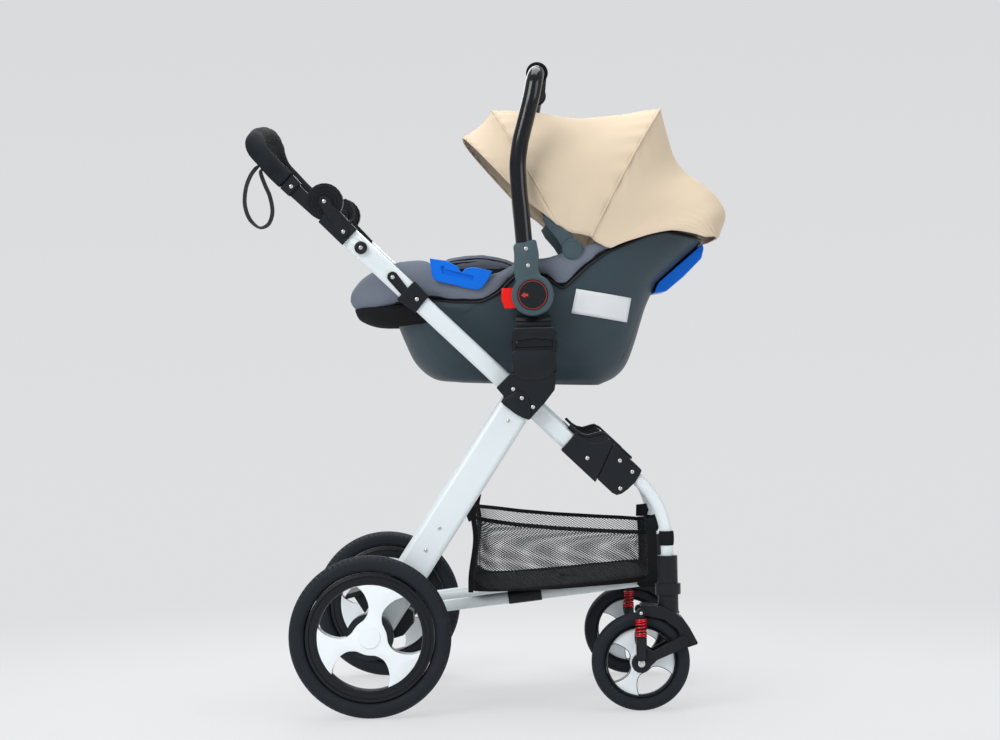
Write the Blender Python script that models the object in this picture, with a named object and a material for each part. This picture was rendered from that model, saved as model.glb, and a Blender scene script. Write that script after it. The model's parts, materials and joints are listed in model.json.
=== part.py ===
"""Travel system stroller: a folding pushchair chassis with an infant carrier docked on it.

Metres. +X points forward, +Y to the rider's left, +Z up; the origin lies on the floor under the
middle of the length. Pieces on the right side stand at negative Y. The side view is the XZ plane.
Places on the long side tubes are given as (along, across): along runs forward and down the tube from
the hub pivot, across stands square to it, upwards.
"""

import math

import bmesh
import bpy
import numpy as np
from mathutils import Matrix, Vector

# Driving dimensions of the chassis
GAP = 0.0003
INLAY = 0.0002
RUNNING_GAP = 0.0008
REAR_WHEEL_RADIUS = 0.1425
REAR_TYRE_WIDTH = 0.042
REAR_RIM_RADIUS = 0.113
REAR_TRACK = 0.566
REAR_AXLE_X = -0.221
FRONT_WHEEL_RADIUS = 0.0865
FRONT_TYRE_WIDTH = 0.036
FRONT_RIM_RADIUS = 0.0615
FRONT_TRACK = 0.500
WHEELBASE = 0.4735
CASTER_TRAIL = 0.0505

HUB_X = 0.053
HUB_Z = 0.554
TUBE_SLOPE = math.radians(44.2)
TUBE_Y = 0.224
TUBE_DEPTH = 0.032
TUBE_THICK = 0.020
OUTER_TUBE_DEPTH = 0.036
OUTER_TUBE_THICK = 0.0225
TUBE_TOP_ALONG = -0.440
TUBE_STEP_ALONG = -0.262
TUBE_FOOT_ALONG = 0.150
KNEE_ALONG = 0.232

LEG_Y = 0.2485
LEG_DEPTH = 0.059
LEG_THICK = 0.022
LEG_HEAD_RADIUS = 0.0265
PIVOT_RADIUS = 0.005

FRONT_LEG_RADIUS = 0.011
BAR_RADIUS = 0.0105
BAR_Y = 0.105
BAR_REAR_X = -0.158
BAR_REAR_Z = 0.169
BAR_FRONT_X = 0.266
BAR_FRONT_Z = 0.215

FOAM_RADIUS = 0.0175
HANDLE_TUBE_RADIUS = 0.011
RATCHET_ALONG = -0.4915
RATCHET_ACROSS = 0.0155
RATCHET_RADIUS = 0.0328

# Driving dimensions of the carrier
CARRIER_PIVOT_X = 0.076
CARRIER_PIVOT_Z = 0.735
CARRIER_HUB_RADIUS = 0.0372
CARRY_TUBE_RADIUS = 0.0145
SHELL_WALL = 0.005
SHELL_HALF_WIDTH = 0.203
CANOPY_X = 0.148
CANOPY_Z = 0.816
CANOPY_HALF_WIDTH = 0.2065
FABRIC = 0.003

# Sides: the builder functions take one of these and work on that side of the object
RIGHT = -1
LEFT = 1
SIDE_NAMES = {RIGHT: "right", LEFT: "left"}

# Derived places
AXLE_Z = REAR_WHEEL_RADIUS
FRONT_AXLE_X = REAR_AXLE_X + WHEELBASE
FRONT_AXLE_Z = FRONT_WHEEL_RADIUS
CASTER_X = FRONT_AXLE_X + CASTER_TRAIL
CASTER_Y = FRONT_TRACK / 2
REAR_WHEEL_Y = REAR_TRACK / 2
LEG_INNER = LEG_Y - LEG_THICK / 2
LEG_OUTER = LEG_Y + LEG_THICK / 2
ALONG = Vector((math.cos(TUBE_SLOPE), 0.0, -math.sin(TUBE_SLOPE)))
ACROSS = Vector((math.sin(TUBE_SLOPE), 0.0, math.cos(TUBE_SLOPE)))


def on_tube(along, across):
    """The (x, z) place in the side view of a point given along and across the side tube."""
    return (
        HUB_X + along * ALONG.x + across * ACROSS.x,
        HUB_Z + along * ALONG.z + across * ACROSS.z,
    )


KNEE_X, KNEE_Z = on_tube(KNEE_ALONG, 0.0)
RATCHET_X, RATCHET_Z = on_tube(RATCHET_ALONG, RATCHET_ACROSS)

# Scene and material helpers


def clear_scene():
    for old in list(bpy.data.objects):
        bpy.data.objects.remove(old, do_unlink=True)


def finish(name, colour, roughness, metallic=0.0):
    """A Principled material."""
    made = bpy.data.materials.new(name)
    made.use_nodes = True
    shader = made.node_tree.nodes["Principled BSDF"]
    shader.inputs["Base Color"].default_value = (*colour, 1.0)
    shader.inputs["Roughness"].default_value = roughness
    shader.inputs["Metallic"].default_value = metallic
    return made


FINISHES = {
    "white_coat": ((0.83, 0.86, 0.84), 0.35, 0.0),
    "black_plastic": ((0.03, 0.032, 0.036), 0.45, 0.0),
    "gloss_black": ((0.012, 0.012, 0.014), 0.15, 0.0),
    "slate_plastic": ((0.09, 0.12, 0.13), 0.5, 0.0),
    "grip_foam": ((0.022, 0.022, 0.024), 0.9, 0.0),
    "tyre_rubber": ((0.02, 0.021, 0.023), 0.8, 0.0),
    "wheel_white": ((0.86, 0.87, 0.87), 0.35, 0.0),
    "spring_red": ((0.65, 0.02, 0.02), 0.3, 0.2),
    "button_red": ((0.8, 0.03, 0.02), 0.35, 0.0),
    "guide_blue": ((0.0, 0.19, 0.8), 0.35, 0.0),
    "beige_fabric": ((0.79, 0.62, 0.42), 0.85, 0.0),
    "grey_fabric": ((0.2, 0.19, 0.22), 0.9, 0.0),
    "black_mesh": ((0.04, 0.04, 0.04), 0.85, 0.0),
    "webbing": ((0.02, 0.02, 0.022), 0.8, 0.0),
}

BODIES = {}


def joint_axis(name, place, parent=None):
    """An empty on a joint's axis; the pieces of the body that turns or slides there are its children."""
    marker = bpy.data.objects.new(name, None)
    marker.empty_display_size = 0.03
    bpy.context.scene.collection.objects.link(marker)
    BODIES[name] = Vector(place)
    if parent:
        marker.parent = bpy.data.objects[parent]
        marker.location = BODIES[name] - BODIES[parent]
    else:
        marker.location = place
    return marker


def face_outwards(form):
    """Turns the faces of a closed form outwards."""
    bmesh.ops.recalc_face_normals(form, faces=form.faces[:])
    if form.calc_volume(signed=True) < 0:
        bmesh.ops.reverse_faces(form, faces=form.faces[:])


def piece(name, form, coat, body):
    """A named object from a bmesh in world coordinates, with its origin on its body's joint axis."""
    mesh = bpy.data.meshes.new(name)
    face_outwards(form)
    form.to_mesh(mesh)
    form.free()
    origin = BODIES[body]
    mesh.transform(Matrix.Translation(-origin))
    mesh.shade_smooth()
    mesh.set_sharp_from_angle(angle=math.radians(32.0))
    made = bpy.data.objects.new(name, mesh)
    made.data.materials.append(finish(name + "_finish", *FINISHES[coat]))
    made.parent = bpy.data.objects[body]
    bpy.context.scene.collection.objects.link(made)
    return made


def tool_for(target, form):
    """A hidden Boolean operand in world coordinates, carried by the piece that it works on."""
    mesh = bpy.data.meshes.new(target.name + "_tool")
    face_outwards(form)
    form.to_mesh(mesh)
    form.free()
    mesh.transform(Matrix.Translation(-BODIES[target.parent.name]))
    helper = bpy.data.objects.new(target.name + "_tool", mesh)
    helper.parent = target
    helper.hide_render = True
    helper.display_type = "WIRE"
    bpy.context.scene.collection.objects.link(helper)
    return helper


def boolean(target, form, operation):
    """Adds one EXACT Boolean of target with the given form."""
    modifier = target.modifiers.new(operation.lower(), "BOOLEAN")
    modifier.operation = operation
    modifier.solver = "EXACT"
    modifier.object = tool_for(target, form)


def cut(target, *forms):
    for form in forms:
        boolean(target, form, "DIFFERENCE")


def weld(target, *forms):
    for form in forms:
        boolean(target, form, "UNION")


def soften(target, width, segments=1):
    """A bevel on the sharp edges of a moulding."""
    modifier = target.modifiers.new("edges", "BEVEL")
    modifier.width = width
    modifier.segments = segments
    modifier.limit_method = "ANGLE"
    modifier.angle_limit = math.radians(50.0)


# Form helpers: each returns a closed bmesh in world coordinates


def prism(outline, near, far):
    """A side view outline of (x, z) points, extruded across the object from y = near to y = far."""
    form = bmesh.new()
    face = form.faces.new([form.verts.new((x, near, z)) for x, z in outline])
    grown = bmesh.ops.extrude_face_region(form, geom=[face])
    moved = [part for part in grown["geom"] if isinstance(part, bmesh.types.BMVert)]
    bmesh.ops.translate(form, verts=moved, vec=(0.0, far - near, 0.0))
    return form


def skin(rings, closed=False):
    """Quads between successive rings of points; the ends are capped unless the rings close on themselves."""
    form = bmesh.new()
    made = [[form.verts.new(point) for point in ring] for ring in rings]
    pairs = list(zip(made, made[1:]))
    if closed:
        pairs.append((made[-1], made[0]))
    for low, high in pairs:
        count = len(low)
        for i in range(count):
            j = (i + 1) % count
            form.faces.new((low[i], low[j], high[j], high[i]))
    if not closed:
        form.faces.new(made[0])
        form.faces.new(made[-1])
    return form


def turned(profile, centre, steps, axis="Y", flat_down=False):
    """A closed profile of (radius, along) points turned about an axis through centre.

    With flat_down the facets, not the corners, lie at the stated radius and one faces the floor.
    """
    stretch = 1 / math.cos(math.pi / steps) if flat_down else 1.0
    shift = 0.5 if flat_down else 0.0
    rings = []
    for i in range(steps):
        angle = 2 * math.pi * (i + shift) / steps - math.pi / 2
        ring = []
        for radius, along in profile:
            a = radius * stretch * math.cos(angle)
            b = radius * stretch * math.sin(angle)
            spot = (a, along, b) if axis == "Y" else (a, b, along)
            ring.append(Vector(centre) + Vector(spot))
        rings.append(ring)
    form = skin(rings, closed=True)
    bmesh.ops.remove_doubles(form, verts=form.verts[:], dist=1e-6)
    return form


def disc(centre, radius, near, far, steps=16):
    """A round bar or plate along Y from y = near to y = far."""
    x, z = centre
    points = [(radius * math.cos(t), radius * math.sin(t)) for t in np.arange(steps) * 2 * math.pi / steps]
    return skin([[(x + a, y, z + b) for a, b in points] for y in (near, far)])


def post(centre, radius, low, high, steps=16):
    """An upright round bar from z = low to z = high."""
    x, y = centre
    points = [(radius * math.cos(t), radius * math.sin(t)) for t in np.arange(steps) * 2 * math.pi / steps]
    return skin([[(x + a, y + b, z) for a, b in points] for z in (low, high)])


def rounded(half_a, half_b, radius, steps=3):
    """A rounded rectangle about the origin as (a, b) points."""
    points = []
    for turn, (sa, sb) in enumerate(((1, 1), (-1, 1), (-1, -1), (1, -1))):
        for i in range(steps + 1):
            t = math.pi / 2 * (turn + i / steps)
            a = sa * (half_a - radius) + radius * math.cos(t)
            b = sb * (half_b - radius) + radius * math.sin(t)
            points.append((a, b))
    return points


def circle(radius, sides):
    return [(radius * math.cos(t), radius * math.sin(t)) for t in np.arange(sides) * 2 * math.pi / sides]


def swept(path, section, start_up=(0.0, 1.0, 0.0), sections=None):
    """A section of (side, up) points carried along a path with the least twist."""
    path = [Vector(point) for point in path]
    up = Vector(start_up)
    rings = []
    for i, point in enumerate(path):
        ahead = path[min(i + 1, len(path) - 1)] - point
        behind = point - path[max(i - 1, 0)]
        tangent = (ahead.normalized() + behind.normalized()).normalized()
        up = (up - up.dot(tangent) * tangent).normalized()
        across = tangent.cross(up)
        shape = sections[i] if sections else section
        rings.append([point + across * a + up * b for a, b in shape])
    return skin(rings)


def smooth_path(points, steps=4):
    """Points read off a Catmull-Rom curve through the given ones."""
    points = [Vector(point) for point in points]
    ends = [2 * points[0] - points[1], *points, 2 * points[-1] - points[-2]]
    read = []
    for p, q, r, s in zip(ends, ends[1:], ends[2:], ends[3:]):
        for i in range(steps):
            t = i / steps
            read.append(
                0.5
                * (
                    2 * q
                    + (r - p) * t
                    + (2 * p - 5 * q + 4 * r - s) * t * t
                    + (3 * q - p - 3 * r + s) * t**3
                )
            )
    read.append(points[-1])
    return read


def tube_section_at(along, half_depth, half_thick, y):
    """One ring of the flat-oval side tube, square to its axis."""
    x, z = on_tube(along, 0.0)
    corner = min(half_thick, half_depth) * 0.85
    ring = []
    for a, b in rounded(half_depth, half_thick, corner):
        ring.append((x + a * ACROSS.x, y + b, z + a * ACROSS.z))
    return ring


def side_tube_form(side, grow=0.0):
    """The long tube: a deeper sleeve tube above the step, the plain tube below it."""
    y = side * TUBE_Y
    step = 0.001
    deep = OUTER_TUBE_DEPTH / 2 + grow
    thick = OUTER_TUBE_THICK / 2 + grow
    slim = TUBE_DEPTH / 2 + grow
    thin = TUBE_THICK / 2 + grow
    rings = (
        tube_section_at(TUBE_TOP_ALONG - grow, deep, thick, y),
        tube_section_at(TUBE_STEP_ALONG + grow, deep, thick, y),
        tube_section_at(TUBE_STEP_ALONG + grow + step, slim, thin, y),
        tube_section_at(TUBE_FOOT_ALONG + grow, slim, thin, y),
    )
    return skin(rings)


def tube_outline(points):
    """A side view outline given in (along, across) points."""
    return [on_tube(along, across) for along, across in points]


def arc(centre, radius, start, end, steps):
    """Side view points on an arc, angles in degrees."""
    x, z = centre
    angles = np.radians(np.linspace(start, end, steps + 1))
    return [(x + radius * math.cos(t), z + radius * math.sin(t)) for t in angles]


def across_side(side, low, high):
    """The y limits, low first, of a layer between two distances from the middle plane."""
    return sorted((side * low, side * high))


# Chassis frame


def side_tube(side):
    name = "side_tube_" + SIDE_NAMES[side]
    tube = piece(name, side_tube_form(side), "white_coat", "frame")
    knob_along = -0.3885
    knob_radius = 0.0105
    knob_face = TUBE_Y + OUTER_TUBE_THICK / 2 + 0.0075
    spot = on_tube(knob_along, 0.0)
    weld(tube, disc(spot, knob_radius, *across_side(side, TUBE_Y, knob_face), steps=20))


COLLAR_INNER = TUBE_Y - 0.0155
COLLAR_OUTER = TUBE_Y + 0.0155


def tube_collar(side):
    """The clamp where the sleeve tube ends, with the tongue that lies up the tube's outer face."""
    outline = ((-0.2803, -0.0236), (-0.2795, 0.0225), (-0.2424, 0.0189), (-0.2400, -0.0182))
    layer = across_side(side, COLLAR_INNER, COLLAR_OUTER)
    name = "tube_collar_" + SIDE_NAMES[side]
    collar = piece(name, prism(tube_outline(outline), *layer), "black_plastic", "frame")
    soften(collar, 0.0015)
    tongue = [(-0.274, -0.0125), (-0.274, 0.0035), (-0.3120, 0.0085)]
    end_x, end_z = on_tube(-0.3125, 0.0005)
    outline = tube_outline(tongue[:2]) + arc((end_x, end_z), 0.0095, 46, 226, 6)
    face = TUBE_Y + OUTER_TUBE_THICK / 2 + GAP
    weld(collar, prism(outline, *across_side(side, face, face + 0.0025)))
    cut(collar, side_tube_form(side, GAP))


HUB_INNER = 0.2105
HUB_OUTER = LEG_OUTER + 0.0040
HUB_TOP = HUB_Z + 0.0430
HUB_WALL = 0.0040


def hub(side):
    """The casting round the side tube that carries the rear leg's pivot and the seat adapter."""
    outline = [
        (HUB_X - 0.0374, HUB_Z - 0.0060),
        (HUB_X - 0.0308, HUB_Z + 0.0027),
        (HUB_X - 0.0444, HUB_Z + 0.0192),
        (HUB_X - 0.0199, HUB_TOP),
        (HUB_X + 0.0630, HUB_TOP),
        (HUB_X + 0.0579, HUB_Z + 0.0132),
        (HUB_X + 0.0406, HUB_Z - 0.0088),
        (HUB_X + 0.0120, HUB_Z - 0.0389),
    ]
    name = "hub_" + SIDE_NAMES[side]
    layer = across_side(side, HUB_INNER, HUB_OUTER)
    casting = piece(name, prism(outline, *layer), "black_plastic", "frame")
    soften(casting, 0.0012)
    pocket = [
        (HUB_X - 0.1100, HUB_Z - 0.0800),
        (HUB_X - 0.1100, HUB_TOP - 0.0060),
        (HUB_X + 0.0530, HUB_TOP - 0.0060),
        (HUB_X + 0.0530, HUB_Z + 0.0150),
        (HUB_X + 0.0355, HUB_Z - 0.0072),
        (HUB_X + 0.0160, HUB_Z - 0.0270),
        (HUB_X + 0.0260, HUB_Z - 0.0450),
        (HUB_X + 0.0260, HUB_Z - 0.0800),
    ]
    clear = across_side(side, LEG_INNER - GAP, LEG_OUTER + GAP)
    cut(casting, prism(pocket, *clear), side_tube_form(side, GAP))
    pin = across_side(side, LEG_INNER - 0.002, LEG_OUTER + 0.002)
    weld(casting, disc((HUB_X, HUB_Z), PIVOT_RADIUS, *pin, steps=12))


ADAPTER_REAR = CARRIER_PIVOT_X - 0.0385
ADAPTER_FRONT = CARRIER_PIVOT_X + 0.0400
ADAPTER_TOP = CARRIER_PIVOT_Z - 0.0575
ADAPTER_INNER = 0.2120
ADAPTER_OUTER = 0.2585
SOCKET_INNER = 0.2195
SOCKET_OUTER = 0.2520
SOCKET_FLOOR = HUB_TOP + 0.0100
SOCKET_REAR = ADAPTER_REAR + 0.0068
SOCKET_FRONT = ADAPTER_FRONT - 0.0075
WINDOW_LOW = ADAPTER_TOP - 0.0350
WINDOW_HIGH = ADAPTER_TOP - 0.0190
ADAPTER_PRESS = 0.004


def window_outline(inset):
    """The arched window of the seat adapter, drawn in by inset."""
    left = ADAPTER_REAR + 0.0070 + inset
    right = ADAPTER_FRONT - 0.0070 - inset
    low = WINDOW_LOW + inset
    high = WINDOW_HIGH - inset
    middle = (left + right) / 2
    arch = 0.0035
    return [(left, low), (right, low), (right, high - arch), (middle, high), (left, high - arch)]


def seat_adapter(side):
    """The socket on the hub that takes the carrier's docking lug, with its release button."""
    outline = [
        (ADAPTER_REAR, HUB_TOP + GAP),
        (ADAPTER_FRONT, HUB_TOP + GAP),
        (ADAPTER_FRONT, ADAPTER_TOP - 0.0080),
        (ADAPTER_FRONT - 0.0055, ADAPTER_TOP),
        (ADAPTER_REAR + 0.0045, ADAPTER_TOP),
        (ADAPTER_REAR, ADAPTER_TOP - 0.0065),
    ]
    name = "seat_adapter_" + SIDE_NAMES[side]
    layer = across_side(side, ADAPTER_INNER, ADAPTER_OUTER)
    block = piece(name, prism(outline, *layer), "black_plastic", "frame")
    soften(block, 0.0015)
    socket = [
        (SOCKET_REAR, SOCKET_FLOOR),
        (SOCKET_FRONT, SOCKET_FLOOR),
        (SOCKET_FRONT, ADAPTER_TOP + 0.01),
        (SOCKET_REAR, ADAPTER_TOP + 0.01),
    ]
    cut(block, prism(socket, *across_side(side, SOCKET_INNER, SOCKET_OUTER)))
    window = across_side(side, SOCKET_OUTER - ADAPTER_PRESS - 0.001, ADAPTER_OUTER + 0.01)
    cut(block, prism(window_outline(0.0), *window))
    button = "adapter_button_" + SIDE_NAMES[side]
    joint_axis(button + "_slide", (CARRIER_PIVOT_X, side * ADAPTER_OUTER, WINDOW_LOW), "frame")
    press = across_side(side, SOCKET_OUTER - 0.0005, ADAPTER_OUTER - 0.0004)
    pad = piece(button, prism(window_outline(GAP), *press), "gloss_black", button + "_slide")
    soften(pad, 0.0008)


HOUSING_INNER = TUBE_Y - 0.0155
HOUSING_OUTER = TUBE_Y + 0.0155
TONGUE_INNER = TUBE_Y - 0.0045
TONGUE_OUTER = TUBE_Y + 0.0045
KNEE_EYE = 0.012
SEAM_TOP = (0.1738, 0.0508)
SEAM_FOOT = (0.1967, -0.0204)


def upper_fold_housing(side):
    """The rear half of the front fold joint: the tube's shoe and the tongue that carries the knee pin."""
    outline = [
        (0.1132, -0.0204),
        (0.1117, 0.0175),
        (0.1246, 0.0200),
        (0.1407, 0.0238),
        (0.1490, 0.0290),
        (0.1575, 0.0400),
        (0.1610, 0.0508),
        SEAM_TOP,
        SEAM_FOOT,
    ]
    name = "upper_fold_housing_" + SIDE_NAMES[side]
    layer = across_side(side, HOUSING_INNER, HOUSING_OUTER)
    shoe = piece(name, prism(tube_outline(outline), *layer), "black_plastic", "frame")
    soften(shoe, 0.0015)
    cut(shoe, side_tube_form(side, GAP))
    slope = math.degrees(TUBE_SLOPE)
    nose = arc((KNEE_X, KNEE_Z), KNEE_EYE, -90 - slope, 90 - slope, 8)
    tongue = tube_outline([(0.170, KNEE_EYE), (0.170, -KNEE_EYE)]) + nose
    weld(shoe, prism(tongue, *across_side(side, TONGUE_INNER, TONGUE_OUTER)))
    bore = across_side(side, TONGUE_INNER - 0.002, TONGUE_OUTER + 0.002)
    cut(shoe, disc((KNEE_X, KNEE_Z), PIVOT_RADIUS + GAP, *bore, steps=12))


def front_leg_path(side):
    """The bent front leg: in the knee housing, down and out, then upright over the caster."""
    inner = [on_tube(0.205, 0.0345), on_tube(0.236, 0.0345)]
    points = [(x, side * TUBE_Y, z) for x, z in inner]
    drop = CASTER_Y - TUBE_Y
    for x, z, share in (
        (CASTER_X - 0.0475, 0.4045, 0.06),
        (CASTER_X - 0.0300, 0.3850, 0.22),
        (CASTER_X - 0.0165, 0.3640, 0.42),
        (CASTER_X - 0.0070, 0.3400, 0.65),
        (CASTER_X - 0.0015, 0.3140, 0.87),
        (CASTER_X, 0.2880, 0.99),
        (CASTER_X, 0.2620, 1.0),
        (CASTER_X, 0.2380, 1.0),
    ):
        points.append((x, side * (TUBE_Y + drop * share), z))
    return points


def lower_fold_housing(side):
    """The front half of the fold joint, which straddles the tongue and holds the front leg."""
    outline = [
        (SEAM_TOP[0] + RUNNING_GAP, SEAM_TOP[1]),
        (0.2300, 0.0518),
        (0.2419, 0.0512),
        (0.2451, 0.0424),
        (0.2478, 0.0279),
        (0.2470, 0.0100),
        (0.2444, -0.0031),
        (0.2396, -0.0113),
        (0.2313, -0.0139),
        (0.1946 + RUNNING_GAP, -0.0139),
    ]
    name = "lower_fold_housing_" + SIDE_NAMES[side]
    layer = across_side(side, HOUSING_INNER, HOUSING_OUTER)
    shoe = piece(name, prism(tube_outline(outline), *layer), "black_plastic", "front_frame")
    soften(shoe, 0.0015)
    slot = [(0.160, -0.030), (0.160, KNEE_EYE + GAP), (0.2450, KNEE_EYE + GAP), (0.2450, -0.030)]
    clear = across_side(side, TONGUE_INNER - GAP, TONGUE_OUTER + GAP)
    cut(shoe, prism(tube_outline(slot), *clear))
    cut(shoe, swept(front_leg_path(side), circle(FRONT_LEG_RADIUS + GAP, 12)))
    pin = across_side(side, TONGUE_INNER - 0.002, TONGUE_OUTER + 0.002)
    weld(shoe, disc((KNEE_X, KNEE_Z), PIVOT_RADIUS, *pin, steps=12))


LATCH_HALF_WIDTH = 0.011


def fold_latch(side):
    """The finger lever that runs back over the seam from the top of the front half."""
    top = [
        (0.0952, 0.0250),
        (0.1104, 0.0246),
        (0.1208, 0.0267),
        (0.1306, 0.0328),
        (0.1365, 0.0429),
        (0.1428, 0.0528),
        (0.1554, 0.0564),
        (0.2137, 0.0566),
        (0.2160, 0.0524),
    ]
    under = [
        (0.1590, 0.0522),
        (0.1478, 0.0490),
        (0.1415, 0.0400),
        (0.1350, 0.0290),
        (0.1235, 0.0222),
        (0.1105, 0.0195),
        (0.0954, 0.0195),
    ]
    name = "fold_latch_" + SIDE_NAMES[side]
    spot = on_tube(SEAM_TOP[0], SEAM_TOP[1])
    joint_axis(name + "_slide", (spot[0], side * TUBE_Y, spot[1]), "front_frame")
    layer = across_side(side, TUBE_Y - LATCH_HALF_WIDTH, TUBE_Y + LATCH_HALF_WIDTH)
    lever = piece(name, prism(tube_outline(top + under), *layer), "black_plastic", name + "_slide")
    soften(lever, 0.0008)


# Push handle

SOCKET_PLATE = 0.006
HANDLE_BUTTON_RADIUS = 0.012
BUTTON_POCKET = 0.0038
RATCHET_HALF = 0.0100


def handle_socket(side):
    """The sleeve on the tube's top with the two plates that carry the handle's ratchet disc."""
    outline = [(-0.4158, -0.0190), (-0.4158, 0.0187), (-0.4566, 0.0212), (-0.4800, 0.0212), (-0.4743, -0.0180)]
    inner = TUBE_Y - RATCHET_HALF - RUNNING_GAP - SOCKET_PLATE
    outer = TUBE_Y + RATCHET_HALF + RUNNING_GAP + SOCKET_PLATE
    name = "handle_socket_" + SIDE_NAMES[side]
    sleeve = piece(name, prism(tube_outline(outline), *across_side(side, inner, outer)), "black_plastic", "frame")
    soften(sleeve, 0.0012)
    centre = (RATCHET_X, RATCHET_Z)
    gap_low = TUBE_Y - RATCHET_HALF - RUNNING_GAP
    gap_high = TUBE_Y + RATCHET_HALF + RUNNING_GAP
    cut(sleeve, disc(centre, RATCHET_RADIUS + 0.001, *across_side(side, gap_low, gap_high), steps=24))
    plate = across_side(side, inner + GAP, gap_low - INLAY)
    weld(sleeve, disc(centre, RATCHET_RADIUS * 0.92, *plate, steps=20))
    arm_half = 0.0095
    low = on_tube(-0.4300, -0.0005)
    down = math.degrees(math.atan2(low[1] - centre[1], low[0] - centre[0]))
    link = arc(centre, arm_half, down + 90, down + 270, 8) + arc(low, arm_half, down - 90, down + 90, 8)
    weld(sleeve, prism(link, *across_side(side, gap_high + INLAY, outer + 0.0025)))
    cut(sleeve, side_tube_form(side, GAP))
    pin = across_side(side, gap_low - 0.002, gap_high + 0.002)
    weld(sleeve, disc(centre, PIVOT_RADIUS, *pin, steps=12))
    pocket = across_side(side, inner - 0.002, inner + BUTTON_POCKET)
    cut(sleeve, disc(centre, HANDLE_BUTTON_RADIUS + GAP, *pocket, steps=20))


def handle_path(side):
    """The right or left half of the handle's run, from its bracket to the middle of the crossbar."""
    low = on_tube(-0.5600, -0.0040)
    corner_x, corner_z = -0.4125, 1.0150
    return [
        (low[0], side * TUBE_Y, low[1]),
        (-0.3630, side * TUBE_Y, 0.9540),
        (-0.3905, side * TUBE_Y, 0.9840),
        (corner_x + 0.0095, side * (TUBE_Y - 0.0015), corner_z - 0.0165),
        (corner_x + 0.0040, side * (TUBE_Y - 0.0070), corner_z - 0.0080),
        (corner_x + 0.0008, side * (TUBE_Y - 0.0180), corner_z),
        (corner_x, side * (TUBE_Y - 0.0340), corner_z + 0.0060),
        (corner_x + 0.0016, side * (TUBE_Y - 0.0800), corner_z + 0.0165),
        (corner_x + 0.0045, 0.0, corner_z + 0.0270),
    ]


def whole_handle_path():
    return handle_path(RIGHT) + handle_path(LEFT)[::-1][1:]


def push_handle():
    """The bent tube with the two brackets and ratchet discs, and the foam round the tube."""
    joint_axis("handle", (RATCHET_X, 0.0, RATCHET_Z), "frame")
    path = whole_handle_path()
    tube = piece("handle_frame", swept(path, circle(HANDLE_TUBE_RADIUS, 8)), "black_plastic", "handle")
    for side in (RIGHT, LEFT):
        layer = across_side(side, TUBE_Y - RATCHET_HALF, TUBE_Y + RATCHET_HALF)
        arm = [
            (-0.4915, -0.0173),
            (-0.5497, -0.0184),
            (-0.5497, 0.0075),
            (-0.5232, 0.0062),
            (-0.5050, 0.0160),
            (-0.4915, 0.0300),
        ]
        recess = across_side(side, TUBE_Y - RATCHET_HALF + INLAY, TUBE_Y + RATCHET_HALF - INLAY)
        weld(tube, prism(tube_outline(arm), *recess))
        weld(tube, disc((RATCHET_X, RATCHET_Z), RATCHET_RADIUS, *layer, steps=22))
        cup = [(-0.5645, -0.0202), (-0.5450, -0.0202), (-0.5450, 0.0108), (-0.5645, 0.0122)]
        wide = across_side(side, TUBE_Y - 0.0155, TUBE_Y + 0.0155)
        weld(tube, prism(tube_outline(cup), *wide))
        bore = across_side(side, TUBE_Y - 0.012, TUBE_Y + 0.012)
        cut(tube, disc((RATCHET_X, RATCHET_Z), PIVOT_RADIUS + GAP, *bore, steps=12))
    foam_path = [Vector(point) for point in path]
    start = Vector(foam_path[0]).lerp(foam_path[1], 0.55)
    end = Vector(foam_path[-1]).lerp(foam_path[-2], 0.55)
    foam_path = [start, *foam_path[1:-1], end]
    foam = piece("handle_foam", swept(foam_path, circle(FOAM_RADIUS, 12)), "grip_foam", "handle")
    cut(foam, swept(path, circle(HANDLE_TUBE_RADIUS + GAP, 8)))


def handle_button(side):
    """The press button in the inner face of the ratchet joint."""
    name = "handle_button_" + SIDE_NAMES[side]
    joint_axis(name + "_slide", (RATCHET_X, side * TUBE_Y, RATCHET_Z), "frame")
    face = TUBE_Y - RATCHET_HALF - RUNNING_GAP - SOCKET_PLATE
    wide = HANDLE_BUTTON_RADIUS
    deep = BUTTON_POCKET - 0.0025
    profile = [(0.0, -0.0034), (wide - 0.0015, -0.0034), (wide, -0.0022), (wide, deep), (0.0, deep)]
    form = turned([(r, side * (face + a)) for r, a in profile], (RATCHET_X, 0.0, RATCHET_Z), 20)
    piece(name, form, "black_plastic", name + "_slide")


STRAP_WIDTH = 0.0080
STRAP_THICK = 0.0018


def wrist_strap():
    """The safety loop that hangs from the underside of the foam near the right corner."""
    y = -0.2215
    loop = (
        (-0.4038, 0.9718),
        (-0.4130, 0.9640),
        (-0.4215, 0.9520),
        (-0.4270, 0.9370),
        (-0.4290, 0.9180),
        (-0.4278, 0.8980),
        (-0.4215, 0.8810),
        (-0.4100, 0.8700),
        (-0.3980, 0.8670),
        (-0.3880, 0.8720),
        (-0.3820, 0.8860),
        (-0.3822, 0.9030),
        (-0.3870, 0.9230),
        (-0.3945, 0.9420),
        (-0.3997, 0.9545),
        (-0.3963, 0.9636),
    )
    path = [(x, y, z) for x, z in loop]
    section = [(STRAP_THICK / 2 * sa, STRAP_WIDTH / 2 * sb) for sa, sb in ((1, 1), (-1, 1), (-1, -1), (1, -1))]
    piece("wrist_strap", swept(path, section), "webbing", "handle")


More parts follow.
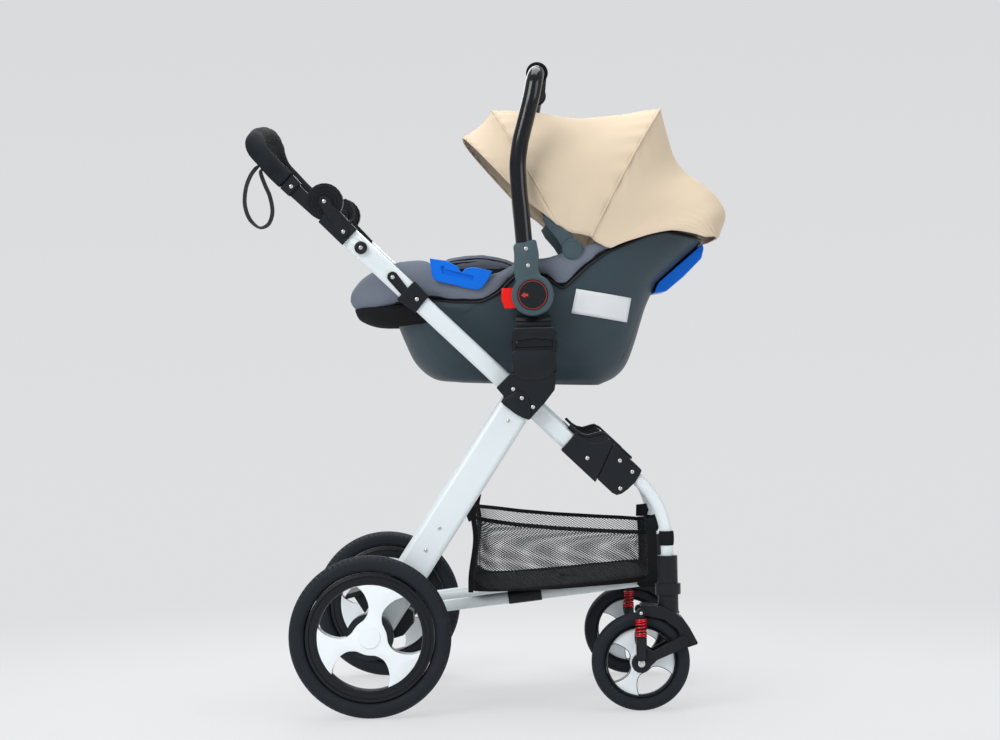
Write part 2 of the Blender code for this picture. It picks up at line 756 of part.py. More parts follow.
def release_cable():
    """The cable that arches from the right socket's plate back into its sleeve."""
    y = -(TUBE_Y - 0.0040)
    top = on_tube(-0.4420, 0.0217)
    points = [
        (RATCHET_X + 0.0345, y, RATCHET_Z + 0.0040),
        (RATCHET_X + 0.0440, y, RATCHET_Z - 0.0015),
        (RATCHET_X + 0.0500, y, RATCHET_Z - 0.0120),
        (RATCHET_X + 0.0515, y, RATCHET_Z - 0.0230),
        (RATCHET_X + 0.0500, y, RATCHET_Z - 0.0320),
        (top[0] + 0.0045, y, top[1] + 0.0030),
    ]
    piece("release_cable", swept(smooth_path(points, 2), circle(0.0023, 8)), "black_plastic", "frame")


# Rear legs, axle, brake and wheels

LEG_ANGLE = math.atan2(AXLE_Z - HUB_Z, REAR_AXLE_X - HUB_X)
LEG_LENGTH = math.hypot(AXLE_Z - HUB_Z, REAR_AXLE_X - HUB_X)
LEG_DOWN = Vector((math.cos(LEG_ANGLE), 0.0, math.sin(LEG_ANGLE)))
AXLE_TUBE_RADIUS = 0.011
STUB_RADIUS = 0.006
AXLE_EYE = 0.022


def rear_leg(side):
    """The wide oval extrusion from the hub pivot to the rear axle."""
    y = side * LEG_Y
    hub_spot = Vector((HUB_X, y, HUB_Z))
    head = hub_spot + LEG_DOWN * 0.0205
    foot = hub_spot + LEG_DOWN * (LEG_LENGTH - 0.024)
    section = rounded(LEG_DEPTH / 2, LEG_THICK / 2, LEG_THICK / 2 * 0.92, 3)
    name = "rear_leg_" + SIDE_NAMES[side]
    leg = piece(name, swept([head, foot], section), "white_coat", "rear_frame")
    eye = across_side(side, LEG_INNER + GAP, LEG_OUTER - GAP)
    web = across_side(side, LEG_INNER + GAP + INLAY, LEG_OUTER - GAP - INLAY)
    neck = 0.0225
    square = Vector((-LEG_DOWN.z, 0.0, LEG_DOWN.x))
    corners = (hub_spot - square * neck, hub_spot + square * neck)
    low = (head + LEG_DOWN * 0.01 + square * neck, head + LEG_DOWN * 0.01 - square * neck)
    outline = [(point.x, point.z) for point in (*corners, *low)]
    weld(leg, prism(outline, *web))
    weld(leg, disc((HUB_X, HUB_Z), LEG_HEAD_RADIUS, *eye, steps=20))
    weld(leg, disc((REAR_AXLE_X, AXLE_Z), AXLE_EYE + 0.008, *eye, steps=20))
    through = across_side(side, LEG_INNER - 0.004, LEG_OUTER + 0.004)
    cut(leg, disc((HUB_X, HUB_Z), PIVOT_RADIUS + GAP, *through, steps=12))
    cut(leg, disc((REAR_AXLE_X, AXLE_Z), STUB_RADIUS + GAP, *through, steps=12))


BAR_LUG_HALF = 0.0045
BAR_EYE = 0.0100


def rear_axle():
    """The cross tube with the stub axles, the brake housings and the lugs of the lower bars."""
    inside = LEG_INNER - GAP
    centre = (REAR_AXLE_X, AXLE_Z)
    axle = piece("rear_axle", disc(centre, AXLE_TUBE_RADIUS, -inside, inside, 16), "black_plastic", "rear_frame")
    tip = REAR_WHEEL_Y + 0.0170
    housing = [
        (REAR_AXLE_X + 0.0180, AXLE_Z - 0.0150),
        (REAR_AXLE_X + 0.0560, AXLE_Z - 0.0040),
        (REAR_AXLE_X + 0.0750, AXLE_Z + 0.0180),
        (REAR_AXLE_X + 0.0740, AXLE_Z + 0.0380),
        (REAR_AXLE_X + 0.0560, AXLE_Z + 0.0520),
        (REAR_AXLE_X + 0.0240, AXLE_Z + 0.0520),
        (REAR_AXLE_X + 0.0020, AXLE_Z + 0.0300),
        (REAR_AXLE_X - 0.0160, AXLE_Z + 0.0100),
        (REAR_AXLE_X - 0.0130, AXLE_Z - 0.0140),
    ]
    weld(axle, disc(centre, STUB_RADIUS, -tip, tip, 12))
    lug = [
        (REAR_AXLE_X - 0.0060, AXLE_Z + 0.0060),
        (REAR_AXLE_X + 0.0060, AXLE_Z - 0.0080),
        (BAR_REAR_X + 0.0095, BAR_REAR_Z - 0.0080),
        (BAR_REAR_X + 0.0115, BAR_REAR_Z + 0.0020),
        (BAR_REAR_X + 0.0050, BAR_REAR_Z + 0.0110),
        (BAR_REAR_X - 0.0070, BAR_REAR_Z + 0.0100),
    ]
    for side in (RIGHT, LEFT):
        weld(axle, prism(housing, *across_side(side, 0.1960, inside - INLAY)))
        near = BAR_Y + BAR_LUG_HALF + RUNNING_GAP
        far = near + 0.005
        weld(axle, prism(lug, *across_side(side, near, far)))
        near = BAR_Y - BAR_LUG_HALF - RUNNING_GAP
        weld(axle, prism(lug, *across_side(side, near - 0.005, near)))
        pin = across_side(side, near - 0.002, far - 0.002)
        weld(axle, disc((BAR_REAR_X, BAR_REAR_Z), 0.004, *pin, steps=12))


PEDAL_HALF_WIDTH = 0.055


def brake_pedal():
    """The foot pedal on two clamps that turn on the rear cross tube."""
    joint_axis("brake", (REAR_AXLE_X, 0.0, AXLE_Z), "rear_frame")
    bore = AXLE_TUBE_RADIUS + GAP
    ring = bore + 0.0055
    plate = [
        (REAR_AXLE_X - 0.0300, AXLE_Z + 0.0600),
        (REAR_AXLE_X - 0.0560, AXLE_Z + 0.0530),
        (REAR_AXLE_X - 0.0610, AXLE_Z + 0.0470),
        (REAR_AXLE_X - 0.0585, AXLE_Z + 0.0430),
        (REAR_AXLE_X - 0.0280, AXLE_Z + 0.0510),
    ]
    width = PEDAL_HALF_WIDTH
    pedal = piece("brake_pedal", prism(plate, -width, width), "black_plastic", "brake")
    soften(pedal, 0.0012)
    arm = [
        (REAR_AXLE_X - 0.0150, AXLE_Z + 0.0020),
        (REAR_AXLE_X + 0.0050, AXLE_Z + 0.0140),
        (REAR_AXLE_X - 0.0300, AXLE_Z + 0.0580),
        (REAR_AXLE_X - 0.0450, AXLE_Z + 0.0500),
    ]
    for side in (RIGHT, LEFT):
        layer = across_side(side, width - 0.016, width - 0.006)
        recess = across_side(side, width - 0.016 + INLAY, width - 0.006 - INLAY)
        weld(pedal, disc((REAR_AXLE_X, AXLE_Z), ring, *layer, steps=16))
        weld(pedal, prism(arm, *recess))
    cut(pedal, disc((REAR_AXLE_X, AXLE_Z), bore, INLAY - width, width - INLAY, 16))


def window_between_arms(centre, angle, reach, hub_radius, arm_half, lean):
    """One opening of a three-arm wheel: between two arms whose sides curve in towards the hub."""
    outline = []
    steps = 4
    spread = 60 - arm_half
    for i in range(steps + 1):
        share = i / steps
        radius = reach - (reach - hub_radius) * share
        width = spread + (arm_half * 0.35) * math.sin(math.pi * share) + (arm_half * 0.30) * share
        turn = math.radians(angle + width + lean * share)
        outline.append((centre[0] + radius * math.cos(turn), centre[1] + radius * math.sin(turn)))
    for i in range(steps, -1, -1):
        share = i / steps
        radius = reach - (reach - hub_radius) * share
        width = spread + (arm_half * 0.35) * math.sin(math.pi * share) + (arm_half * 0.30) * share
        turn = math.radians(angle - width + lean * share)
        outline.append((centre[0] + radius * math.cos(turn), centre[1] + radius * math.sin(turn)))
    for i in range(1, 5):
        turn = math.radians(angle - spread + 2 * spread * i / 5)
        outline.append((centre[0] + reach * math.cos(turn), centre[1] + reach * math.sin(turn)))
    return outline


def wheel(name, body, centre, y, sizes, arms_at, arm_half, lean, steps, coat):
    """A moulded wheel: rim channel, dished web with three windows, and a bored hub."""
    rim, reach, hub_radius, half, bore = sizes
    web = 0.0045
    profile = [
        (bore, -half * 0.95),
        (hub_radius, -half * 0.95),
        (hub_radius + 0.003, -web),
        (reach, -web),
        (reach + 0.002, -half),
        (rim, -half),
        (rim, half),
        (reach + 0.002, half),
        (reach, web),
        (hub_radius + 0.003, web),
        (hub_radius, half * 0.95),
        (bore, half * 0.95),
    ]
    made = piece(name, turned(profile, (centre[0], y, centre[1]), steps), coat, body)
    for i in range(3):
        outline = window_between_arms(
            centre, arms_at + 60 + 120 * i, reach - 0.0015, hub_radius + 0.005, arm_half, lean
        )
        cut(made, prism(outline, y - half, y + half))


def tyre(name, body, centre, y, outer, inner, width, steps):
    """A tyre of rounded section with a flat tread, seated in the rim's channel."""
    half = width / 2
    seat = inner + GAP
    profile = [
        (seat, -half * 0.52),
        (seat + (outer - seat) * 0.48, -half),
        (outer - half * 0.30, -half * 0.80),
        (outer, -half * 0.36),
        (outer, half * 0.36),
        (outer - half * 0.30, half * 0.80),
        (seat + (outer - seat) * 0.48, half),
        (seat, half * 0.52),
    ]
    form = turned(profile, (centre[0], y, centre[1]), steps, flat_down=True)
    piece(name, form, "tyre_rubber", body)


def rear_wheel(side):
    body = "rear_wheel_spin_" + SIDE_NAMES[side]
    y = side * REAR_WHEEL_Y
    centre = (REAR_AXLE_X, AXLE_Z)
    joint_axis(body, (REAR_AXLE_X, y, AXLE_Z), "rear_frame")
    sizes = (REAR_RIM_RADIUS, 0.0950, 0.0290, 0.0165, STUB_RADIUS + GAP)
    wheel("rear_wheel_" + SIDE_NAMES[side], body, centre, y, sizes, 75.8, 26.5, 0.0, 24, "wheel_white")
    tyre(
        "rear_tyre_" + SIDE_NAMES[side],
        body,
        centre,
        y,
        REAR_WHEEL_RADIUS,
        REAR_RIM_RADIUS,
        REAR_TYRE_WIDTH,
        28,
    )


# Front frame, casters and lower bars

SLEEVE_RADIUS = 0.0178
SLEEVE_TOP = 0.2720
FLANGE_RADIUS = 0.0225
FLANGE_LOW = 0.2040
FLANGE_HIGH = 0.2230
STEM_RADIUS = 0.0060
STEM_TOP = 0.2280
CROSS_Z = 0.2135
CROSS_RADIUS = 0.0085
FORK_GAP = 0.0020


def front_leg(side):
    name = "front_leg_" + SIDE_NAMES[side]
    piece(name, swept(front_leg_path(side), circle(FRONT_LEG_RADIUS, 12)), "white_coat", "front_frame")


def front_crossmember():
    """The two swivel sleeves joined by a cross tube that carries the forks of the lower bars."""
    reach = CASTER_Y
    cross = disc((CASTER_X, CROSS_Z), CROSS_RADIUS, -reach, reach, 12)
    member = piece("front_crossmember", cross, "black_plastic", "front_frame")
    ear = [
        (CASTER_X + 0.0020, CROSS_Z - 0.0110),
        (CASTER_X + 0.0020, CROSS_Z + 0.0095),
        (BAR_FRONT_X - 0.0040, BAR_FRONT_Z + 0.0120),
        (BAR_FRONT_X - 0.0110, BAR_FRONT_Z + 0.0060),
        (BAR_FRONT_X - 0.0110, BAR_FRONT_Z - 0.0060),
        (BAR_FRONT_X - 0.0040, BAR_FRONT_Z - 0.0120),
    ]
    for side in (RIGHT, LEFT):
        spot = (CASTER_X, side * CASTER_Y)
        weld(member, post(spot, SLEEVE_RADIUS, FLANGE_LOW + 0.002, SLEEVE_TOP))
        weld(member, post(spot, FLANGE_RADIUS, FLANGE_LOW, FLANGE_HIGH))
        near = BAR_Y - BAR_RADIUS - FORK_GAP
        weld(member, prism(ear, *across_side(side, near - 0.004, near)))
        near = BAR_Y + BAR_RADIUS + FORK_GAP
        weld(member, prism(ear, *across_side(side, near, near + 0.004)))
        bore = [point for point in front_leg_path(side) if point[2] < 0.30]
        bore.append((CASTER_X, side * CASTER_Y, 0.2377))
        cut(member, swept(bore, circle(FRONT_LEG_RADIUS + GAP, 12)))
        cut(member, post(spot, STEM_RADIUS + GAP, FLANGE_LOW - 0.01, STEM_TOP + GAP, 12))


def lower_bars():
    """The two bars under the basket, tied together, pivoted on the rear lugs and free in the front forks."""
    joint_axis("lower_frame", (BAR_REAR_X, 0.0, BAR_REAR_Z), "rear_frame")
    rise = Vector((BAR_FRONT_X - BAR_REAR_X, 0.0, BAR_FRONT_Z - BAR_REAR_Z)).normalized()
    first = Vector((BAR_REAR_X, 0.0, BAR_REAR_Z)) + rise * 0.020
    last = Vector((BAR_FRONT_X, 0.0, BAR_FRONT_Z)) - rise * 0.004
    middle = first.lerp(last, 0.44)
    tie = disc((middle.x, middle.z), BAR_RADIUS * 0.62, -BAR_Y, BAR_Y, 12)
    bars = piece("lower_bars", tie, "white_coat", "lower_frame")
    for side in (RIGHT, LEFT):
        shift = Vector((0.0, side * BAR_Y, 0.0))
        weld(bars, swept([first + shift, last + shift], circle(BAR_RADIUS, 14)))
        eye = across_side(side, BAR_Y - BAR_LUG_HALF, BAR_Y + BAR_LUG_HALF)
        strip = [
            (BAR_REAR_X - 0.0010, BAR_REAR_Z + 0.0085),
            (BAR_REAR_X + 0.0010, BAR_REAR_Z - 0.0085),
            (BAR_REAR_X + 0.0300, BAR_REAR_Z - 0.0055),
            (BAR_REAR_X + 0.0300, BAR_REAR_Z + 0.0115),
        ]
        web = across_side(side, BAR_Y - BAR_LUG_HALF + INLAY, BAR_Y + BAR_LUG_HALF - INLAY)
        through = across_side(side, BAR_Y - BAR_LUG_HALF - 0.002, BAR_Y + BAR_LUG_HALF + 0.002)
        weld(bars, prism(strip, *web))
        weld(bars, disc((BAR_REAR_X, BAR_REAR_Z), BAR_EYE, *eye, steps=16))
        cut(bars, disc((BAR_REAR_X, BAR_REAR_Z), 0.004 + GAP, *through, steps=12))


SIDE_STATIONS = (0.985, 0.90, 0.74, 0.56, 0.38, 0.25, 0.093, -0.01, -0.197, -0.298, -0.412, -0.602, -0.76, -0.90, -0.985)


def tub_plan(power, stations=SIDE_STATIONS):
    """Unit points round a rounded-rectangle plan, closer together where the rim's height changes."""
    left = [(u, (1 - abs(u) ** power) ** (1 / power)) for u in stations]
    right = [(u, -v) for u, v in left[::-1]]
    return [(1.0, -0.22), (1.0, 0.22), *left, (-1.0, 0.22), (-1.0, -0.22), *right]


def level(rear, front, half_width, height, power=3.2, stations=SIDE_STATIONS):
    """A ring of a tub in plan from x = rear to x = front, at the height that height(x) gives."""
    middle = (rear + front) / 2
    reach = (front - rear) / 2
    ring = []
    for a, b in tub_plan(power, stations):
        x = middle + a * reach
        ring.append((x, b * half_width, height(x)))
    return ring


def ramp(rear, rear_z, front, front_z):
    """Height as a straight line of x."""
    return lambda x: rear_z + (front_z - rear_z) * (x - rear) / (front - rear)


def under_rim(height):
    """The height, held a clear step below the shell's rim."""
    return lambda x: min(height(x), shell_rim(x) - RIM_STEP)


BASKET_HALF_WIDTH = 0.190
BASKET_WALL = 0.0025
BASKET_STATIONS = (0.99, 0.90, 0.5, 0.0, -0.5, -0.90, -0.99)


def basket():
    """The open mesh basket: four thin walls that lean out a little, and a floor."""
    rim_x = (-0.044, -0.027, 0.036, 0.125, 0.267, 0.288)
    rim_z = (0.3480, 0.3680, 0.3530, 0.3440, 0.3410, 0.3390)

    def rim(x):
        return float(np.interp(x, rim_x, rim_z))

    def floor(x):
        return float(np.interp(x, (-0.046, 0.100, 0.288), (0.2035, 0.2110, 0.2300)))

    wall = BASKET_WALL
    wide = BASKET_HALF_WIDTH
    rings = [
        level(-0.0400, 0.2820, wide - 0.010, floor, 6, BASKET_STATIONS),
        level(-0.0500, 0.2870, wide - 0.004, lambda x: floor(x) + 0.030, 6, BASKET_STATIONS),
        level(-0.0440, 0.2880, wide, rim, 6, BASKET_STATIONS),
        level(-0.0440 + wall, 0.2880 - wall, wide - wall, rim, 6, BASKET_STATIONS),
        level(-0.0500 + wall, 0.2870 - wall, wide - 0.004 - wall, lambda x: floor(x) + 0.031, 6, BASKET_STATIONS),
        level(-0.0400 + wall, 0.2820 - wall, wide - 0.010 - wall, lambda x: floor(x) + wall, 6, BASKET_STATIONS),
    ]
    piece("basket", skin(rings), "black_mesh", "lower_frame")


GUARD_CLEARANCE = 0.0980
GUARD_WALL = 0.0035
SWING_X = FRONT_AXLE_X + 0.0735
SWING_Z = FRONT_AXLE_Z + 0.0365
STRUT_X = FRONT_AXLE_X + 0.0005
SPRING_LOW = FRONT_AXLE_Z + 0.0455
SPRING_HIGH = FRONT_AXLE_Z + 0.0775
STRUT_TOP_Z = FRONT_AXLE_Z + 0.0885
FRONT_AXLE_RADIUS = 0.004


def caster_layers():
    """Distances from the caster's middle plane: tyre side, guard side, arm side."""
    tyre_side = FRONT_TYRE_WIDTH / 2
    guard_in = tyre_side + 0.0018
    guard_out = guard_in + GUARD_WALL
    return tyre_side, guard_in, guard_out


def caster_fork(side):
    """The swivelling guard over the front wheel, with its stem and the spring seats."""
    body = "caster_" + SIDE_NAMES[side]
    joint_axis(body, (CASTER_X, side * CASTER_Y, FLANGE_LOW), "front_frame")
    y = side * CASTER_Y
    _, guard_in, guard_out = caster_layers()
    ax, az = FRONT_AXLE_X, FRONT_AXLE_Z
    outline = [
        (ax + 0.0010, az + 0.0850),
        (ax + 0.0010, az + 0.1015),
        (ax + 0.0240, az + 0.1000),
        (ax + 0.0430, az + 0.0960),
        (ax + 0.0600, az + 0.0870),
        (ax + 0.0740, az + 0.0770),
        (ax + 0.0870, az + 0.0580),
        (ax + 0.0998, az + 0.0335),
        (ax + 0.0990, az + 0.0305),
        (ax + 0.0832, az + 0.0255),
        (ax + 0.0690, az + 0.0300),
        (ax + 0.0680, az + 0.0480),
        (ax + 0.0640, az + 0.0570),
        (ax + 0.0420, az + 0.0745),
        (ax + 0.0150, az + 0.0805),
    ]
    name = "caster_fork_" + SIDE_NAMES[side]
    fork = piece(name, prism(outline, y - guard_out, y + guard_out), "black_plastic", body)
    soften(fork, 0.0010)
    collar = post((CASTER_X, y), 0.0180, az + 0.0850, FLANGE_LOW - GAP)
    weld(fork, collar, post((CASTER_X, y), STEM_RADIUS, FLANGE_LOW - 0.004, STEM_TOP, 12))
    cut(fork, disc((ax, az), GUARD_CLEARANCE, y - guard_in, y + guard_in, 28))
    for face in (-1, 1):
        seat_near = y + face * (guard_out - 0.0005)
        seat_far = y + face * (guard_out + 0.0150)
        low, high = sorted((seat_near, seat_far))
        weld(fork, disc((STRUT_X, STRUT_TOP_Z), 0.0080, low, high, 12))
        low, high = sorted((y + face * (guard_in + INLAY), y + face * (guard_out + 0.0068)))
        weld(fork, disc((SWING_X, SWING_Z), 0.0050, low, high, 10))


def swing_arm(side):
    """The trailing arms each side of the wheel, joined by its axle, with the cups of the springs."""
    body = "swing_" + SIDE_NAMES[side]
    joint_axis(body, (SWING_X, side * CASTER_Y, SWING_Z), "caster_" + SIDE_NAMES[side])
    y = side * CASTER_Y
    _, _, guard_out = caster_layers()
    ax, az = FRONT_AXLE_X, FRONT_AXLE_Z
    near = guard_out + RUNNING_GAP
    far = near + 0.0055
    name = "swing_arm_" + SIDE_NAMES[side]
    axle = disc((ax, az), FRONT_AXLE_RADIUS, y + INLAY - far, y + far - INLAY, 12)
    arm = piece(name, axle, "black_plastic", body)
    link = [
        (ax - 0.0035, az + 0.0170),
        (ax + 0.0095, az + 0.0270),
        (ax + 0.0205, az + 0.0195),
        (SWING_X - 0.0060, SWING_Z + 0.0080),
        (SWING_X + 0.0060, SWING_Z - 0.0080),
        (ax + 0.0590, az + 0.0180),
        (ax + 0.0280, az + 0.0050),
        (ax + 0.0150, az - 0.0070),
        (ax + 0.0000, az - 0.0060),
    ]
    strut_y = guard_out + 0.0100
    for face in (-1, 1):
        low, high = sorted((y + face * near, y + face * far))
        weld(arm, prism(link, low + INLAY, high - INLAY))
        weld(arm, disc((ax, az), 0.0172, low, high, 16))
        weld(arm, disc((SWING_X, SWING_Z), 0.0100, low, high, 12))
        cup_low = az + 0.0060
        cup = post((STRUT_X, y + face * strut_y), 0.0095, cup_low, SPRING_LOW - GAP, 12)
        weld(arm, cup)
        low, high = sorted((y + face * (near - 0.002), y + face * (far + 0.002)))
        cut(arm, disc((SWING_X, SWING_Z), 0.0050 + GAP, low, high, 10))


SPRING_RADIUS = 0.0088
SPRING_WIRE = 0.0013
SPRING_TURNS = 6
SPRING_POINTS = 8


def suspension_spring(side):
    """The red coil on the outer strut: one open helix with its least gap between turns printed."""
    y = side * CASTER_Y
    _, _, guard_out = caster_layers()
    middle_y = y + side * (guard_out + 0.0100)
    low = SPRING_LOW + SPRING_WIRE + GAP
    high = SPRING_HIGH + 0.0010 - SPRING_WIRE
    count = SPRING_TURNS * SPRING_POINTS
    path = []
    for i in range(count + 1):
        t = 2 * math.pi * i / SPRING_POINTS
        z = low + (high - low) * i / count
        path.append((STRUT_X + SPRING_RADIUS * math.cos(t), middle_y + SPRING_RADIUS * math.sin(t), z))
    pitch = (high - low) / SPRING_TURNS
    print("suspension spring, least gap between turns in mm:", round(1000 * (pitch - 2 * SPRING_WIRE), 2))
    name = "suspension_spring_" + SIDE_NAMES[side]
    form = swept(path, circle(SPRING_WIRE, 5), start_up=(0.0, 0.0, 1.0))
    piece(name, form, "spring_red", "caster_" + SIDE_NAMES[side])


def front_wheel(side):
    body = "front_wheel_spin_" + SIDE_NAMES[side]
    y = side * CASTER_Y
    centre = (FRONT_AXLE_X, FRONT_AXLE_Z)
    joint_axis(body, (FRONT_AXLE_X, y, FRONT_AXLE_Z), "swing_" + SIDE_NAMES[side])
    sizes = (FRONT_RIM_RADIUS, 0.0530, 0.0150, 0.0130, FRONT_AXLE_RADIUS + GAP)
    wheel("front_wheel_" + SIDE_NAMES[side], body, centre, y, sizes, 0.0, 24.0, -14.0, 18, "wheel_white")
    tyre(
        "front_tyre_" + SIDE_NAMES[side],
        body,
        centre,
        y,
        FRONT_WHEEL_RADIUS,
        FRONT_RIM_RADIUS,
        FRONT_TYRE_WIDTH,
        20,
    )


# Infant carrier

RIM_STEP = 0.012
RIM_X = (-0.186, -0.107, -0.071, -0.016, 0.017, 0.046, 0.100, 0.130, 0.176, 0.213, 0.285, 0.317, 0.392)
RIM_Z = (0.724, 0.733, 0.727, 0.725, 0.741, 0.771, 0.766, 0.744, 0.785, 0.810, 0.838, 0.844, 0.829)
TOP_X = (-0.232, -0.174, -0.110, -0.017, 0.046, 0.100, 0.200, 0.300, 0.380)
TOP_Z = (0.778, 0.801, 0.811, 0.814, 0.796, 0.800, 0.836, 0.862, 0.856)


def shell_rim(x):
    """Height of the shell's rim."""
    return float(np.interp(x, RIM_X, RIM_Z))


def rim_cover(x):
    """Height that stays over the rim a little either side of x."""
    return max(shell_rim(x - 0.008), shell_rim(x), shell_rim(x + 0.008))


def liner_top(x):
    """Height of the padded edge above the rim."""
    return max(float(np.interp(x, TOP_X, TOP_Z)), shell_rim(x) + 0.010)


def shell_levels(inset):
    """Rings of the shell from its base to its rim, drawn in by inset."""
    wide = SHELL_HALF_WIDTH - inset
    rows = (
        (-0.062, 0.196, -0.108, 0.581, 0.571),
        (-0.108, 0.226, -0.078, 0.588, 0.585),
        (-0.141, 0.247, -0.051, 0.616, 0.608),
        (-0.161, 0.264, -0.027, 0.657, 0.650),
        (-0.176, 0.284, -0.009, 0.697, 0.712),
        (-0.183, 0.306, -0.003, 0.714, 0.757),
    )
    rings = []
    for index, (rear, front, narrow, rear_z, front_z) in enumerate(rows):
        lift = inset * (1 - index / len(rows))
        height = ramp(rear, rear_z + lift, front, front_z + lift)
        rings.append(level(rear + inset, front - inset, wide + narrow, under_rim(height)))
    rings.append(level(-0.186 + inset, 0.392 - inset, wide, shell_rim))
    return rings


LUG_INNER = 0.2205
LUG_OUTER = 0.2465
BOSS_RADIUS = 0.0270
BOSS_FACE = 0.2137
CARRY_INNER = BOSS_FACE + 0.0006
CARRY_OUTER = 0.2490
CARRY_BUTTON_REACH = 0.0562


def carrier_shell():
    """The rocker-bottomed tub with a boss, a docking lug and a canopy lug on each side."""
    inner = shell_levels(SHELL_WALL)
    rings = shell_levels(0.0) + [inner[6], inner[5], inner[3], inner[0]]
    shell = piece("carrier_shell", skin(rings), "slate_plastic", "carrier")
    neck_top = CARRIER_PIVOT_Z - CARRIER_HUB_RADIUS - 0.0012
    neck_low = ADAPTER_TOP + GAP
    rear = SOCKET_REAR + 0.0008
    front = SOCKET_FRONT - 0.0008
    neck = [(rear, neck_low), (front, neck_low), (front, neck_top), (rear, neck_top)]
    floor = SOCKET_FLOOR + 0.0010
    lug = [
        (rear + 0.0040, floor),
        (front - 0.0040, floor),
        (front - INLAY, floor + 0.0100),
        (front - INLAY, neck_low + 0.0040),
        (rear + INLAY, neck_low + 0.0040),
        (rear + INLAY, floor + 0.0100),
    ]
    ear = [
        (CANOPY_X - 0.0080, CANOPY_Z - 0.0900),
        (CANOPY_X + 0.0450, CANOPY_Z - 0.0800),
        (CANOPY_X + 0.0450, CANOPY_Z - 0.0180),
        (CANOPY_X + 0.0150, CANOPY_Z + 0.0080),
        (CANOPY_X, CANOPY_Z + 0.0140),
        (CANOPY_X - 0.0140, CANOPY_Z + 0.0040),
    ]
    for side in (RIGHT, LEFT):
        centre = (CARRIER_PIVOT_X, CARRIER_PIVOT_Z)
        wall = SHELL_HALF_WIDTH - SHELL_WALL
        weld(shell, disc(centre, BOSS_RADIUS, *across_side(side, wall - 0.002, BOSS_FACE), steps=24))
        weld(shell, prism(neck, *across_side(side, wall - 0.0095, LUG_OUTER)))
        weld(shell, prism(lug, *across_side(side, LUG_INNER, LUG_OUTER - INLAY)))
        swept_by_button = across_side(side, CARRY_INNER + 0.0044, CARRY_OUTER - 0.0049)
        cut(shell, disc(centre, CARRY_BUTTON_REACH + 0.0020, *swept_by_button, steps=28))
        weld(shell, prism(ear, *across_side(side, wall - 0.010, wall - 0.0022)))


LINER_INSET = 0.0085


def seat_liner():
    """The padded lining: it fills the tub, rolls over the rim and makes the foot lobe."""
    inset = LINER_INSET
    wide = SHELL_HALF_WIDTH
    inside = shell_levels(inset)
    outer = [inside[0], inside[3], inside[5]]
    over = 0.0030
    outer.append(level(-0.175, 0.378, wide - 0.0115, lambda x: rim_cover(x) + 0.0005))
    outer.append(level(-0.200, 0.388, wide, lambda x: rim_cover(x) + over))
    outer.append(level(-0.260, 0.390, wide, lambda x: shell_rim(x) * 0.6 + liner_top(x) * 0.4))
    outer.append(level(-0.262, 0.388, wide - 0.002, lambda x: shell_rim(x) * 0.25 + liner_top(x) * 0.75))
    outer.append(level(-0.240, 0.380, wide - 0.010, liner_top))
    inner = [
        level(-0.212, 0.366, wide - 0.024, lambda x: liner_top(x) - 0.004),
        level(-0.168, 0.330, wide - 0.036, ramp(-0.168, 0.768, 0.330, 0.805)),
        level(-0.130, 0.272, wide - 0.052, ramp(-0.130, 0.715, 0.272, 0.735)),
        level(-0.090, 0.236, wide - 0.070, ramp(-0.090, 0.665, 0.236, 0.668)),
        level(-0.030, 0.180, wide - 0.098, ramp(-0.030, 0.634, 0.180, 0.632)),
    ]
    liner = piece("seat_liner", skin(outer + inner), "grey_fabric", "carrier")
    ear = [
        (CANOPY_X - 0.0180, CANOPY_Z - 0.0960),
        (CANOPY_X + 0.0500, CANOPY_Z - 0.0860),
        (CANOPY_X + 0.0500, CANOPY_Z + 0.0300),
        (CANOPY_X - 0.0200, CANOPY_Z + 0.0300),
    ]
    for side in (RIGHT, LEFT):
        wall = SHELL_HALF_WIDTH - SHELL_WALL
        cut(liner, prism(ear, *across_side(side, wall - 0.0110, wall + 0.02)))


def harness():
    """Two shoulder straps and a crotch strap that meet in the buckle, lying on the lining."""
    seat = ((0.2704, 0.7320), (0.2360, 0.6680), (0.1800, 0.6320), (0.0950, 0.6329))
    lift = 0.0008
    thick = 0.0030
    low = [(x - lift, z + lift) for x, z in seat]
    high = [(x - lift - thick * 0.8, z + lift + thick * 0.8) for x, z in seat]
    buckle = [
        (0.0450, 0.6337),
        (0.1080, 0.6331),
        (0.1080, 0.6440),
        (0.1000, 0.6500),
        (0.0520, 0.6480),
        (0.0450, 0.6420),
    ]
    belt = piece("harness", prism(buckle, -0.024, 0.024), "webbing", "carrier")
    soften(belt, 0.0015)
    for side in (RIGHT, LEFT):
        weld(belt, prism(low + high[::-1], *across_side(side, 0.0040, 0.0350)))
    crotch = [(-0.020, 0.6343), (0.060, 0.6337), (0.060, 0.6367), (-0.020, 0.6373)]
    weld(belt, prism(crotch, -0.0175, 0.0175))


